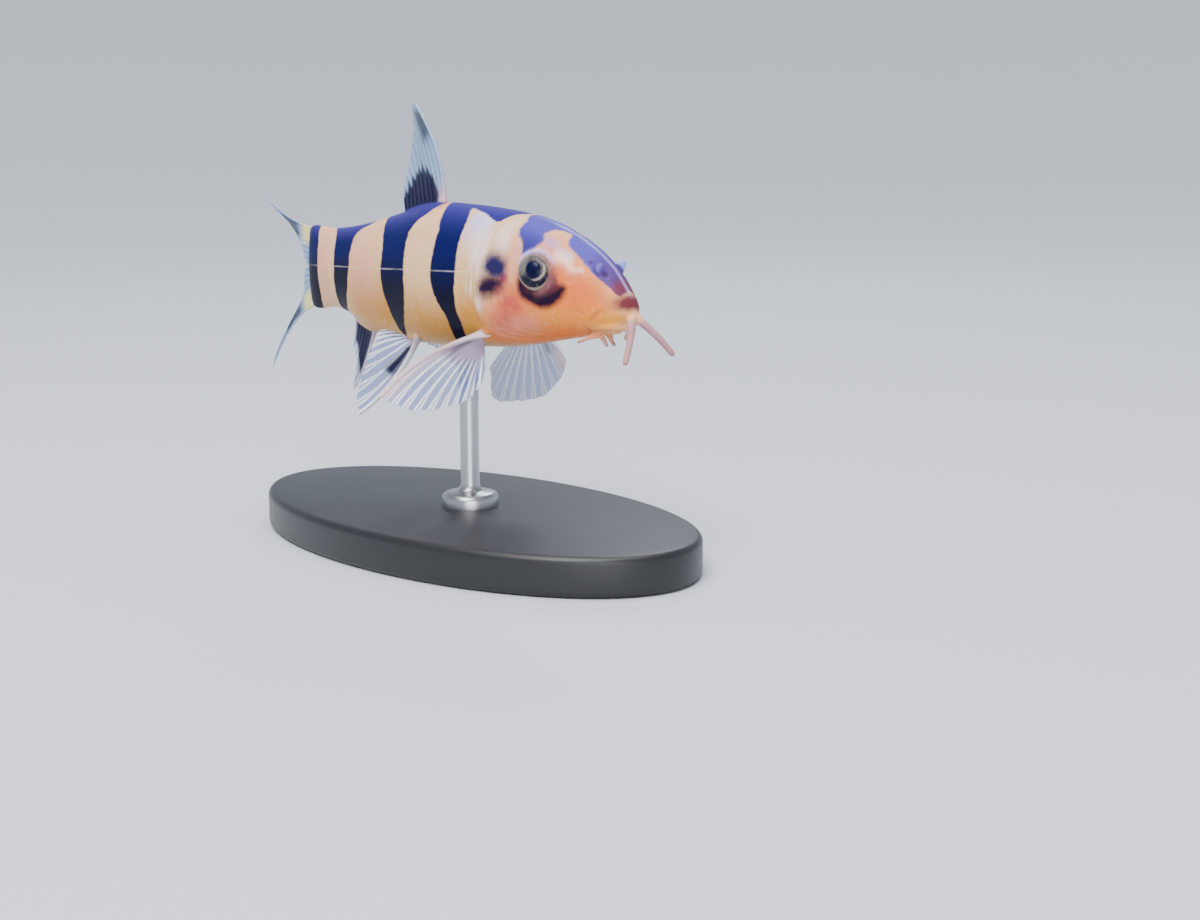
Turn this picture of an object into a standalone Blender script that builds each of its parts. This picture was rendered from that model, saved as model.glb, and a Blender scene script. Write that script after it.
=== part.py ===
"""A young loach, a cross of the clown and the yoyo loach, at life size on a plain display stand.

The fish is modelled straight, in its own coordinates: s runs back from the tip of the snout,
y to the fish's left and z up from its long axis. posed() then swings the tail and sets the fish
over the stand, where +X is ahead of it, +Y at its left, and z = 0 the floor under the base.
"""

import math

import bmesh
import bpy
import numpy as np
from mathutils import Vector

MM = 0.001

# Driving dimensions
STANDARD_LENGTH = 52.0 * MM  # tip of the snout to the end of the flesh
AXIS_HEIGHT = 28.0 * MM  # the fish's long axis above the floor
GAP = 0.3 * MM  # left between neighbouring pieces
ROD_STATION = 24.5 * MM  # where the rod meets the belly, under the centre of mass
BASE_SIZE = Vector((60.0, 32.0, 4.0)) * MM
BASE_EDGE = 0.7 * MM
ROD_RADIUS = 1.0 * MM
ROD_FOOT_RADIUS = 3.0 * MM
ROD_FOOT_HEIGHT = 1.2 * MM
ROD_FILLET = 0.4 * MM
ROD_SIDES = 24

# The tail swings to the fish's left, from this station on
SWING_START = 46.0 * MM
SWING_END = 57.0 * MM
SWING_ANGLE = math.radians(7)

# Outline of the body in mm, one row for each station: place back from the snout, top, bottom,
# half width, height of the widest point, and how square the section is above and below it
BODY_OUTLINE = (
    (0.0, -2.0, -2.4, 0.15, -2.2, 2.0, 2.0),
    (0.35, -1.1, -3.0, 0.95, -2.1, 2.0, 2.0),
    (1.2, 0.1, -3.5, 1.5, -2.0, 2.0, 2.1),
    (3.0, 2.0, -4.1, 2.15, -1.6, 2.1, 2.2),
    (6.0, 3.9, -4.8, 2.95, -1.1, 2.2, 2.2),
    (10.0, 5.6, -5.5, 3.8, -0.7, 2.15, 2.2),
    (14.0, 6.6, -6.2, 4.35, -0.8, 2.1, 2.2),
    (18.0, 7.1, -6.7, 4.65, -0.9, 2.0, 2.2),
    (23.0, 7.5, -7.0, 4.7, -0.9, 1.9, 2.2),
    (28.0, 7.7, -7.25, 4.4, -0.6, 1.85, 2.1),
    (34.0, 6.7, -7.25, 3.75, -0.3, 1.85, 2.0),
    (40.0, 5.5, -6.7, 2.9, -0.1, 1.9, 1.9),
    (42.5, 5.1, -5.9, 2.5, 0.0, 1.9, 1.9),
    (45.5, 4.75, -4.75, 2.05, 0.1, 1.9, 1.9),
    (48.0, 4.6, -4.35, 1.65, 0.1, 1.9, 1.9),
    (52.0, 4.9, -4.75, 0.95, 0.1, 1.9, 1.9),
)

# Where the body is parted into its lengths
NAPE_STATION = 15.4 * MM  # the head's end on the mid-lines of back and throat
GILL_BULGE = 2.4 * MM  # how much further back the gill cover reaches on the sides
STALK_STATION = 45.7 * MM  # the tail stalk's start, just behind the anal fin
GILL_STEP = 0.3 * MM  # how far the gill cover's edge stands proud of the trunk
SIDES = 36  # points round each section

# Eyes
EYE_STATION = 10.05 * MM
EYE_HEIGHT = 1.35 * MM
EYE_RADIUS = 1.85 * MM
EYE_HALF_DEPTH = 1.35 * MM
EYE_SET_IN = 0.55 * MM  # the eye's middle under the skin
EYE_RIM_RADIUS = 0.28 * MM

# Mouth and nostrils
MOUTH_FRONT = 1.35 * MM
MOUTH_CORNER = 4.5 * MM
MOUTH_HALF_WIDTH = 1.35 * MM
LIP_RADIUS = 0.48 * MM
LIP_SPACING = 1.25 * MM  # from the upper lip's middle line back to the lower lip's
MOUTH_SLIT_RADIUS = 0.24 * MM
NOSTRIL_STATION = 3.4 * MM
NOSTRIL_ANGLE = math.radians(33)  # round from the mid-line of the back
NOSTRIL_RADIUS = 0.3 * MM
NOSTRIL_FLAP_HEIGHT = 0.95 * MM
NOSTRIL_FLAP_RADIUS = 0.52 * MM
NOSTRIL_FLAP_THICKNESS = 0.5 * MM
NOSTRIL_FLAP_LEAN = 0.35  # how far it leans back, as a tangent

# Fins
MEMBRANE_HALF = 0.25 * MM  # half the thickness of the skin between two rays
RAY_RISE = 0.13 * MM  # how far a ray stands out of it, on each face
RAY_HALF_WIDTH = 0.24 * MM
FIN_ROWS = 6  # steps from root to tip
FIN_SINK = 1.1 * MM  # how deep a root starts under the skin, before it is cut clear
EDGE_NOTCH = 0.035  # how far the skin falls short of the ray tips, as a share of the ray


class Profile:
    """A smooth line through a few (place, size) points, which never overshoots them."""

    def __init__(self, places, sizes):
        self.places = np.array(places, float)
        self.sizes = np.array(sizes, float)
        slopes = np.diff(self.sizes) / np.diff(self.places)
        self.tangents = np.zeros(len(self.sizes))
        self.tangents[0], self.tangents[-1] = slopes[0], slopes[-1]
        for i in range(1, len(slopes)):
            before, after = slopes[i - 1], slopes[i]
            if before * after > 0:
                self.tangents[i] = 2 * before * after / (before + after)

    def __call__(self, place):
        place = min(max(place, self.places[0]), self.places[-1])
        i = min(int(np.searchsorted(self.places, place, side="right")) - 1, len(self.places) - 2)
        width = self.places[i + 1] - self.places[i]
        t = (place - self.places[i]) / width
        start = (1 + 2 * t) * (1 - t) ** 2 * self.sizes[i] + t * (1 - t) ** 2 * width * self.tangents[i]
        end = t * t * (3 - 2 * t) * self.sizes[i + 1] + t * t * (t - 1) * width * self.tangents[i + 1]
        return float(start + end)


def body_profiles():
    columns = list(zip(*BODY_OUTLINE))
    stations = [s * MM for s in columns[0]]
    lengths = [Profile(stations, [size * MM for size in column]) for column in columns[1:5]]
    powers = [Profile(stations, column) for column in columns[5:7]]
    return lengths + powers


TOP, BOTTOM, HALF_WIDTH, WIDEST, BACK_POWER, BELLY_POWER = body_profiles()


def skin_point(s, angle):
    """The point of the skin at station s, the angle round from the back's mid-line to the left."""
    up, side = math.cos(angle), math.sin(angle)
    power = 2 / (BACK_POWER(s) if up > 0 else BELLY_POWER(s))
    reach = TOP(s) - WIDEST(s) if up > 0 else WIDEST(s) - BOTTOM(s)
    y = HALF_WIDTH(s) * math.copysign(abs(side) ** power, side)
    z = WIDEST(s) + reach * math.copysign(abs(up) ** power, up)
    return Vector((s, y, z))


def spine(s):
    """Where the long axis is at station s, as (x, y) from the snout, and its turn there."""
    steps = 24
    x, y, heading = -min(s, SWING_START), 0.0, 0.0
    if s > SWING_START:
        step = (s - SWING_START) / steps
        for i in range(steps):
            t = min(1, (step * (i + 0.5)) / (SWING_END - SWING_START))
            heading = SWING_ANGLE * t * t * (3 - 2 * t)
            x -= step * math.cos(heading)
            y += step * math.sin(heading)
    return x, y, heading


def posed(point):
    """A point of the straight fish, moved to where it is in the posed fish on its stand."""
    x, y, heading = spine(point[0])
    return Vector(
        (
            ROD_STATION + x + point[1] * math.sin(heading),
            y + point[1] * math.cos(heading),
            AXIS_HEIGHT + point[2],
        )
    )


def clear_scene():
    for obj in list(bpy.data.objects):
        bpy.data.objects.remove(obj)
    for name in ("Loach", "Cutters"):
        collection = bpy.data.collections.new(name)
        bpy.context.scene.collection.children.link(collection)


def material(name, colour, roughness, metallic=0.0):
    made = bpy.data.materials.new(name)
    made.use_nodes = True
    shader = made.node_tree.nodes["Principled BSDF"]
    shader.inputs["Base Color"].default_value = (*colour, 1.0)
    shader.inputs["Roughness"].default_value = roughness
    shader.inputs["Metallic"].default_value = metallic
    made.diffuse_color = (*colour, 1.0)
    return made


def add_object(name, mesh, finish=None, helper=False):
    """Puts the mesh in the scene, as a part in its material or as a helper that isn't rendered."""
    obj = bpy.data.objects.new(name, mesh)
    bpy.data.collections["Cutters" if helper else "Loach"].objects.link(obj)
    if helper:
        obj.hide_render = True
        obj.display_type = "WIRE"
    if finish:
        mesh.materials.append(finish)
        mesh.shade_smooth()
        mesh.set_sharp_from_angle(angle=math.radians(50))
    return obj


def mesh_from(name, points, faces):
    mesh = bpy.data.meshes.new(name)
    mesh.from_pydata([tuple(p) for p in points], [], faces)
    mesh.validate()
    return mesh


def outward(mesh):
    """Turns a closed mesh's faces so that they look out of it."""
    bm = bmesh.new()
    bm.from_mesh(mesh)
    if bm.calc_volume(signed=True) < 0:
        bmesh.ops.reverse_faces(bm, faces=bm.faces)
    bm.to_mesh(mesh)
    bm.free()
    return mesh


def loft(name, rings):
    """A closed mesh through rings of points of one count, each end drawn in to its middle."""
    count = len(rings[0])
    points = [point for ring in rings for point in ring]
    faces = []
    for r in range(len(rings) - 1):
        for i in range(count):
            j = (i + 1) % count
            faces.append((r * count + i, r * count + j, (r + 1) * count + j, (r + 1) * count + i))
    for start, ring, turn in ((0, rings[0], -1), ((len(rings) - 1) * count, rings[-1], 1)):
        points.append(sum(ring, Vector()) / count)
        middle = len(points) - 1
        for i in range(count):
            edge = (start + i, start + (i + 1) % count)
            faces.append((middle, *edge[::turn]))
    return outward(mesh_from(name, points, faces))


def ring_angles():
    return [2 * math.pi * i / SIDES for i in range(SIDES)]


def gill_station(angle):
    """The station of the gill cover's edge, the angle round from the back."""
    return NAPE_STATION + GILL_BULGE * abs(math.sin(angle)) ** 1.5


def head_ring(share):
    """A ring of the head, at a share of the way from the snout to the gill cover's edge."""
    ring = []
    for angle in ring_angles():
        s = gill_station(angle) * share
        point = skin_point(s, angle)
        # the cover swells towards its edge on the sides, and dies away on back and throat
        swell = GILL_STEP * max(0, (share - 0.78) / 0.22) * abs(math.sin(angle)) ** 2
        point.y += math.copysign(swell, point.y)
        ring.append(posed(point))
    return ring


def body_length(name, start, end, steps, finish):
    """A length of the body from start, a station for each angle round it, to the station end."""
    rings = []
    for step in range(steps + 1):
        share = step / steps
        ring = []
        for angle in ring_angles():
            s = start(angle) + (end - start(angle)) * share
            ring.append(posed(skin_point(s, angle)))
        rings.append(ring)
    return add_object(name, loft(name, rings), finish)


def clearance_cutter():
    """The whole body, grown by the gap: it cuts the root of each fin and barbel clear."""
    shares = [(i / 40) ** 1.25 for i in range(41)]
    stations = [share * (STANDARD_LENGTH + GAP) for share in shares]
    rings = [[posed(skin_point(s, a)) for a in ring_angles()] for s in stations]
    cutter = add_object("body_clearance", loft("body_clearance", rings), helper=True)
    grow = cutter.modifiers.new("Grow", "DISPLACE")
    grow.mid_level = 0
    grow.strength = GAP
    return cutter


def apply_modifiers(obj):
    """Replaces the object's mesh by the one that its modifiers or its curve make."""
    bpy.context.view_layer.update()
    evaluated = obj.evaluated_get(bpy.context.evaluated_depsgraph_get())
    made = bpy.data.meshes.new_from_object(evaluated)
    if obj.type == "MESH":
        obj.modifiers.clear()
        obj.data = made
        return obj
    bm = bmesh.new()
    bm.from_mesh(made)
    bmesh.ops.remove_doubles(bm, verts=bm.verts, dist=1e-6)
    bm.to_mesh(made)
    bm.free()
    mesh_object = bpy.data.objects.new(obj.name + "_mesh", outward(made))
    mesh_object.matrix_world = obj.matrix_world
    bpy.data.collections["Cutters"].objects.link(mesh_object)
    mesh_object.hide_render = True
    bpy.data.objects.remove(obj)
    return mesh_object


def keep_largest_piece(obj):
    """Drops every closed surface of the mesh but the one with the most faces."""
    bm = bmesh.new()
    bm.from_mesh(obj.data)
    unseen = set(bm.verts)
    pieces = []
    while unseen:
        stack, piece = [unseen.pop()], set()
        while stack:
            vert = stack.pop()
            piece.add(vert)
            for edge in vert.link_edges:
                other = edge.other_vert(vert)
                if other in unseen:
                    unseen.remove(other)
                    stack.append(other)
        pieces.append(piece)
    largest = max(pieces, key=len)
    loose = [vert for piece in pieces if piece is not largest for vert in piece]
    bmesh.ops.delete(bm, geom=loose, context="VERTS")
    bm.to_mesh(obj.data)
    bm.free()


def combine(obj, others, operation):
    """Joins other closed meshes to obj, or cuts them from it, and then removes them."""
    group = bpy.data.collections.new("Joining")
    for other in others:
        group.objects.link(other)
    modifier = obj.modifiers.new(operation.title(), "BOOLEAN")
    modifier.operation = operation
    modifier.operand_type = "COLLECTION"
    modifier.collection = group
    modifier.solver = "EXACT"
    apply_modifiers(obj)
    for other in others:
        bpy.data.objects.remove(other)
    bpy.data.collections.remove(group)
    keep_largest_piece(obj)


def cut_clear(obj, cutter):
    modifier = obj.modifiers.new("Clear", "BOOLEAN")
    modifier.operation = "DIFFERENCE"
    modifier.object = cutter
    modifier.solver = "EXACT"
    apply_modifiers(obj)
    keep_largest_piece(obj)


def tube(name, points, radii, bevel_resolution=2):
    """A tapering tube along the points, as a closed mesh."""
    curve = bpy.data.curves.new(name, "CURVE")
    curve.dimensions = "3D"
    curve.bevel_depth = 1.0
    curve.bevel_resolution = bevel_resolution
    curve.use_fill_caps = True
    spline = curve.splines.new("POLY")
    spline.points.add(len(points) - 1)
    for knot, point, radius in zip(spline.points, points, radii):
        knot.co = (*point, 1)
        knot.radius = radius
    return apply_modifiers(add_object(name, curve, helper=True))


def surface_frame(s, angle):
    """A skin point and the directions out of it, back along it and round it, once posed."""
    step = 0.05 * MM
    here = posed(skin_point(s, angle))
    back = (posed(skin_point(s + step, angle)) - here).normalized()
    round_it = (posed(skin_point(s, angle + 0.01)) - here).normalized()
    out = round_it.cross(back).normalized()
    return here, out, back, round_it


def eye_middle(side):
    """The eye's middle, under the skin, and the direction that it looks in."""
    low, high = 0.0, math.pi / 2
    for _ in range(24):
        angle = (low + high) / 2
        if skin_point(EYE_STATION, angle).z > EYE_HEIGHT:
            low = angle
        else:
            high = angle
    here, out, _, _ = surface_frame(EYE_STATION, side * angle)
    return here - out * EYE_SET_IN, out


def eyeball(name, side, grow, helper, finish=None):
    """A flattened ball that looks straight out of the head."""
    middle, out = eye_middle(side)
    bm = bmesh.new()
    bmesh.ops.create_uvsphere(bm, u_segments=20, v_segments=12, radius=1.0)
    turn = out.to_track_quat("Z", "Y")
    for vert in bm.verts:
        size = EYE_RADIUS + grow
        scaled = Vector((vert.co.x * size, vert.co.y * size, vert.co.z * (EYE_HALF_DEPTH + grow)))
        vert.co = middle + turn @ scaled
    mesh = bpy.data.meshes.new(name)
    bm.to_mesh(mesh)
    bm.free()
    return add_object(name, mesh, finish, helper)


def eye_rim(side):
    """The raised fold of skin round the eye."""
    middle, out = eye_middle(side)
    turn = out.to_track_quat("Z", "Y")
    bpy.ops.mesh.primitive_torus_add(
        major_segments=24,
        minor_segments=8,
        major_radius=EYE_RADIUS + 0.7 * EYE_RIM_RADIUS,
        minor_radius=EYE_RIM_RADIUS,
    )
    rim = bpy.context.active_object
    for vert in rim.data.vertices:
        vert.co = middle + out * (0.75 * EYE_SET_IN) + turn @ vert.co
    return rim


def mouth_arc(front, points=13):
    """A horseshoe line under the snout, from the right corner round its front to the left."""
    line = []
    for i in range(points):
        turn = math.pi * (i / (points - 1) - 0.5)
        s = front + (MOUTH_CORNER - front) * (1 - math.cos(turn)) ** 1.3
        y = MOUTH_HALF_WIDTH * math.sin(turn)
        line.append((s, y))
    return line


def under_skin(s, y):
    """The skin's point under the head at station s and side y."""
    share = min(1.0, abs(y) / HALF_WIDTH(s)) ** (BELLY_POWER(s) / 2)
    angle = math.pi - math.copysign(math.asin(share), y)
    return skin_point(s, angle)


def lip(name, front, radius, lift):
    line = [under_skin(s, y) for s, y in mouth_arc(front)]
    points = [posed(Vector((p.x, p.y, p.z - lift))) for p in line]
    ends = len(points) - 1
    radii = [radius * (0.62 + 0.38 * math.sin(math.pi * i / ends)) for i in range(ends + 1)]
    return tube(name, points, radii)


def nostril_flap(side):
    """The small round leaf of skin that stands up behind the front nostril."""
    here, out, back, round_it = surface_frame(NOSTRIL_STATION, side * NOSTRIL_ANGLE)
    upward = (out + back * NOSTRIL_FLAP_LEAN).normalized()
    through = (back - out * NOSTRIL_FLAP_LEAN).normalized()
    bm = bmesh.new()
    bmesh.ops.create_uvsphere(bm, u_segments=14, v_segments=9, radius=1.0)
    for vert in bm.verts:
        across = round_it * (vert.co.x * NOSTRIL_FLAP_RADIUS)
        along = through * (vert.co.y * NOSTRIL_FLAP_THICKNESS / 2)
        height = upward * (vert.co.z * NOSTRIL_FLAP_HEIGHT)
        vert.co = here + across + along + height
    mesh = bpy.data.meshes.new("nostril_flap")
    bm.to_mesh(mesh)
    bm.free()
    return add_object("nostril_flap", outward(mesh), helper=True)


def nostril_hole(side):
    """A short cutter for the front nostril, just ahead of its flap."""
    station = NOSTRIL_STATION - 0.75 * MM
    here, out, _, _ = surface_frame(station, side * NOSTRIL_ANGLE)
    return tube("nostril", [here - out * 0.5 * MM, here + out * MM], [NOSTRIL_RADIUS] * 2)


def head(finish):
    shares = [(i / 22) ** 1.35 for i in range(23)]
    skull = add_object("head", loft("head", [head_ring(share) for share in shares]), finish)
    sides = (-1, 1)
    folds = [eye_rim(side) for side in sides] + [nostril_flap(side) for side in sides]
    folds.append(lip("upper_lip", MOUTH_FRONT, LIP_RADIUS, 0.0))
    folds.append(lip("lower_lip", MOUTH_FRONT + LIP_SPACING, LIP_RADIUS, 0.0))
    combine(skull, folds, "UNION")
    slit = lip("slit", MOUTH_FRONT + 0.5 * LIP_SPACING, MOUTH_SLIT_RADIUS, 0.22 * MM)
    hollows = [eyeball("socket", side, GAP, helper=True) for side in sides]
    hollows += [nostril_hole(side) for side in sides]
    combine(skull, [slit, *hollows], "DIFFERENCE")
    return skull


def blend(front, rear, share):
    return front.lerp(rear, share)


def fin(name, roots, directions, curls, lengths, ray_count, finish, cutter):
    """A fin of raised rays in a thin skin, from its leading ray to its last.

    roots, directions and curls each hold a value for the leading ray and one for the last. A
    curl bends a ray by the square of the way along it. lengths is a Profile over the rays.
    """
    step = 1 / (ray_count - 1)
    columns = [(i * step, offset) for i in range(ray_count) for offset in (-1, 0, 1)]
    middle = (directions[0].normalized() + directions[1].normalized()).normalized()
    inward = middle * -FIN_SINK
    root_normal = middle.cross(roots[1] - roots[0]).normalized()
    nudge = 1e-3

    def line(u, v, is_ray=True):
        length = lengths(u) * (1 if is_ray else 1 - EDGE_NOTCH)
        direction = blend(directions[0], directions[1], u).normalized()
        curl = blend(curls[0], curls[1], u)
        root = blend(roots[0], roots[1], u)
        if v < 0:
            return root + inward * -v
        return root + direction * (v * length) + curl * (length * v * v)

    def half_thickness(u, v, offset):
        half = MEMBRANE_HALF + (0 if offset else RAY_RISE)
        if (u, offset) in ((0, -1), (1, 1)):
            half *= 0.6
        return half * (1.4 - 0.55 * max(v, 0))

    faces, near, far = [], [], []
    for at_ray, offset in columns:
        for row in range(FIN_ROWS + 1):
            v = (row - 1) / (FIN_ROWS - 1) if row else -1.0
            spread = (line(at_ray + nudge, v) - line(at_ray - nudge, v)).length / (2 * nudge)
            u = at_ray + offset * min(0.38 * step, RAY_HALF_WIDTH / spread)
            here = line(u, v, offset == 0)
            along = line(u, max(v, 0) + nudge) - line(u, max(v, 0))
            across = line(u + nudge, v) - line(u - nudge, v)
            normal = along.cross(across).normalized()
            normal = root_normal.lerp(normal, min(max(1.5 * v, 0), 1)).normalized()
            thick = normal * half_thickness(at_ray, v, offset)
            near.append(posed(here + thick))
            far.append(posed(here - thick))
    rows, count = FIN_ROWS + 1, len(near)
    for c in range(len(columns) - 1):
        for r in range(FIN_ROWS):
            a, b = c * rows + r, c * rows + r + 1
            d, e = a + rows, b + rows
            faces += [(a, b, e), (a, e, d)]
            faces += [(count + a, count + e, count + b), (count + a, count + d, count + e)]
    rim = [c * rows for c in range(len(columns))]
    rim += [(len(columns) - 1) * rows + r for r in range(1, rows)]
    rim += [c * rows + FIN_ROWS for c in range(len(columns) - 2, -1, -1)]
    rim += [r for r in range(FIN_ROWS - 1, 0, -1)]
    for i, a in enumerate(rim):
        b = rim[(i + 1) % len(rim)]
        faces += [(a, b, count + b), (a, count + b, count + a)]
    made = add_object(name, outward(mesh_from(name, near + far, faces)), finish)
    cut_clear(made, cutter)
    return made


def ray_lengths(*pairs):
    return Profile([share for share, _ in pairs], [length * MM for _, length in pairs])


def mirrored(vector, side):
    return Vector((vector[0], vector[1] * side, vector[2]))


def at(s, y, z):
    """A point of the straight fish, given in mm."""
    return Vector((s, y, z)) * MM


def skin_spot(s, degrees, side):
    """A point of the skin, s in mm from the snout and so many degrees down from the back."""
    return skin_point(s * MM, side * math.radians(degrees))


def median_fins(finish, cutter):
    fin(
        "dorsal_fin",
        (at(27.9, 0, 7.6), at(34.7, 0, 6.5)),
        (Vector((0.03, 0, 1)), Vector((0.46, 0.26, 0.85))),
        (Vector((0.4, 0, -0.04)), Vector((0.03, 0.08, 0))),
        ray_lengths((0, 10.8), (0.2, 11.1), (0.4, 9.4), (0.7, 5.7), (1, 3.4)),
        10,
        finish,
        cutter,
    )
    fin(
        "anal_fin",
        (at(40.6, 0, -6.5), at(44.3, 0, -5.2)),
        (Vector((0.45, 0, -0.89)), Vector((0.14, 0, -0.99))),
        (Vector((0.1, 0, 0)), Vector((0.05, 0, 0))),
        ray_lengths((0, 7.6), (0.15, 7.8), (0.4, 6.2), (0.7, 4.4), (1, 3.2)),
        7,
        finish,
        cutter,
    )
    fin(
        "caudal_fin_upper",
        (at(52.2, 0, 4.5), at(52.3, 0, 0.35)),
        (Vector((0.98, 0, 0.08)), Vector((1, 0, 0.04))),
        (Vector((-0.02, 0, 0.2)), Vector((0, 0, 0))),
        ray_lengths((0, 13.0), (0.08, 11.6), (0.16, 9.0), (0.28, 6.2), (0.42, 4.3), (0.6, 3.1), (1, 2.4)),
        9,
        finish,
        cutter,
    )
    fin(
        "caudal_fin_lower",
        (at(52.2, 0, -4.3), at(52.3, 0, -0.25)),
        (Vector((0.98, 0, -0.18)), Vector((1, 0, -0.04))),
        (Vector((-0.08, 0, -0.46)), Vector((0, 0, 0))),
        ray_lengths((0, 13.4), (0.12, 12.9), (0.25, 9.9), (0.4, 7.1), (0.6, 4.5), (0.8, 3.0), (1, 2.3)),
        9,
        finish,
        cutter,
    )


def paired_fins(finish, cutter):
    # each fin's two roots, its leading and last rays, their curls and the lengths over its rays:
    # the right pectoral is swept back and the left one held out, the left pelvic spread wider
    kinds = {
        "pectoral_fin_right": (
            ((17.2, 132.5), (18.7, 146)),
            ((0.65, 0.73, -0.22), (-0.25, 0.1, -0.96)),
            ((-0.2, -0.14, -0.21), (0.05, 0.06, 0.08)),
            ray_lengths((0, 14.6), (0.1, 13.6), (0.3, 10.9), (0.6, 7.3), (0.85, 5.2), (1, 3.3)),
            11,
        ),
        "pectoral_fin_left": (
            ((16.8, 133), (20.2, 147.5)),
            ((0.15, 0.77, -0.62), (0.73, -0.16, -0.66)),
            ((-0.04, -0.18, 0.09), (-0.02, 0.17, 0.03)),
            ray_lengths((0, 6.8), (0.15, 9.3), (0.4, 11.5), (0.7, 10.9), (0.9, 6.9), (1, 5.8)),
            11,
        ),
        "pelvic_fin_right": (
            ((29.9, 149.5), (32.5, 156)),
            ((0.53, 0.01, -0.85), (0.9, 0.06, 0.43)),
            ((0.06, 0.19, 0.18), (0, 0, -0.37)),
            ray_lengths((0, 13.2), (0.12, 12.0), (0.25, 10.2), (0.5, 7.0), (0.75, 5.7), (1, 5.1)),
            8,
        ),
        "pelvic_fin_left": (
            ((29.9, 149.5), (32.5, 156)),
            ((0.5, 0.62, -0.6), (0.85, 0.5, -0.1)),
            ((0.06, 0.08, 0.1), (0, 0, -0.2)),
            ray_lengths((0, 12.0), (0.12, 11.4), (0.25, 9.8), (0.5, 6.8), (0.75, 5.4), (1, 4.6)),
            8,
        ),
    }
    for name, (roots, rays, curls, lengths, ray_count) in kinds.items():
        side = 1 if name.endswith("left") else -1
        fin(
            name,
            [skin_spot(s, degrees, side) for s, degrees in roots],
            [mirrored(ray, side) for ray in rays],
            [mirrored(curl, side) for curl in curls],
            lengths,
            ray_count,
            finish,
            cutter,
        )


def barbel(name, root, direction, curl, length, radius, finish, cutters):
    """A feeler that tapers to a round tip, rooted in the snout."""
    steps = 8
    points, radii = [], []
    for i in range(steps + 1):
        v = i / steps
        points.append(posed(root + direction * (length * v) + curl * (length * v * v)))
        radii.append(radius * (1 - 0.45 * v))
    radii[-1] *= 0.6
    made = tube(name, points, radii)
    mesh = made.data
    bpy.data.objects.remove(made)
    feeler = add_object(name, mesh, finish)
    for cutter in cutters:
        cut_clear(feeler, cutter)


def barbels(finish, cutter):
    grown = LIP_RADIUS + GAP
    lips = [lip("lip_clearance", MOUTH_FRONT + gap, grown, 0.0) for gap in (0.0, LIP_SPACING)]
    # root on the right side, directions of the right and left ones, curl, length and radius in mm
    outer_rays = (-0.53, -0.47, -0.7), (-0.6, -0.47, -0.62)
    inner_rays = (-0.1, -0.1, -0.98), (-0.1, -0.05, -0.98)
    corner_rays = (0.62, -0.72, -0.3), (0.62, -0.72, -0.3)
    jaw_rays = (-0.66, -0.05, -0.75), (-0.66, -0.05, -0.75)
    kinds = (
        ("rostral_outer", (0.3, -0.62, -2.6), outer_rays, (0.17, -0.02, -0.1), 5.1, 0.4),
        ("rostral_inner", (0.38, -0.34, -2.9), inner_rays, (0.25, 0, 0), 2.2, 0.3),
        ("maxillary", (4.6, -1.25, -4.2), corner_rays, (0, 0, -0.12), 2.2, 0.3),
        ("mandibular", (4.4, -0.4, -4.2), jaw_rays, (0, 0, 0), 1.9, 0.34),
    )
    for kind, root, rays, curl, length, radius in kinds:
        for side_name, side, direction in (("right", 1, rays[0]), ("left", -1, rays[1])):
            barbel(
                f"barbel_{kind}_{side_name}",
                mirrored(Vector(root) * MM, side),
                mirrored(direction, side),
                mirrored(curl, side),
                length * MM,
                radius * MM,
                finish,
                [cutter, *lips],
            )
    for guide in lips:
        bpy.data.objects.remove(guide)


def stand_base(finish):
    """An oval slab with its edges rounded, flat on the floor."""
    bpy.ops.mesh.primitive_cylinder_add(
        vertices=48, radius=0.5, depth=1.0, location=(0, 0, BASE_SIZE.z / 2), scale=BASE_SIZE
    )
    slab = bpy.context.active_object
    mesh = slab.data
    mesh.transform(slab.matrix_world)
    bpy.data.objects.remove(slab)
    base = add_object("stand_base", mesh, finish)
    edge = base.modifiers.new("Edge", "BEVEL")
    edge.width = BASE_EDGE
    edge.segments = 2
    edge.limit_method = "ANGLE"
    edge.angle_limit = math.radians(60)
    return base


def stand_rod(finish, cutter):
    """A turned rod with a round foot, up from the base to just under the belly."""
    low = BASE_SIZE.z + GAP
    high = AXIS_HEIGHT - 5 * MM
    foot_top = low + ROD_FOOT_HEIGHT
    profile = (
        (0, high),
        (ROD_RADIUS, high),
        (ROD_RADIUS, foot_top + ROD_FILLET),
        (ROD_RADIUS + ROD_FILLET, foot_top),
        (ROD_FOOT_RADIUS - ROD_FILLET, foot_top),
        (ROD_FOOT_RADIUS, foot_top - ROD_FILLET),
        (ROD_FOOT_RADIUS, low),
        (0, low),
    )
    edges = [(i, i + 1) for i in range(len(profile) - 1)]
    mesh = bpy.data.meshes.new("stand_rod")
    mesh.from_pydata([(x, 0, z) for x, z in profile], edges, [])
    rod = add_object("stand_rod", mesh, finish)
    turn = rod.modifiers.new("Turn", "SCREW")
    turn.steps = turn.render_steps = ROD_SIDES
    turn.use_merge_vertices = True
    turn.merge_threshold = 0.00001
    apply_modifiers(rod)
    outward(rod.data)
    cut_clear(rod, cutter)


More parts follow.
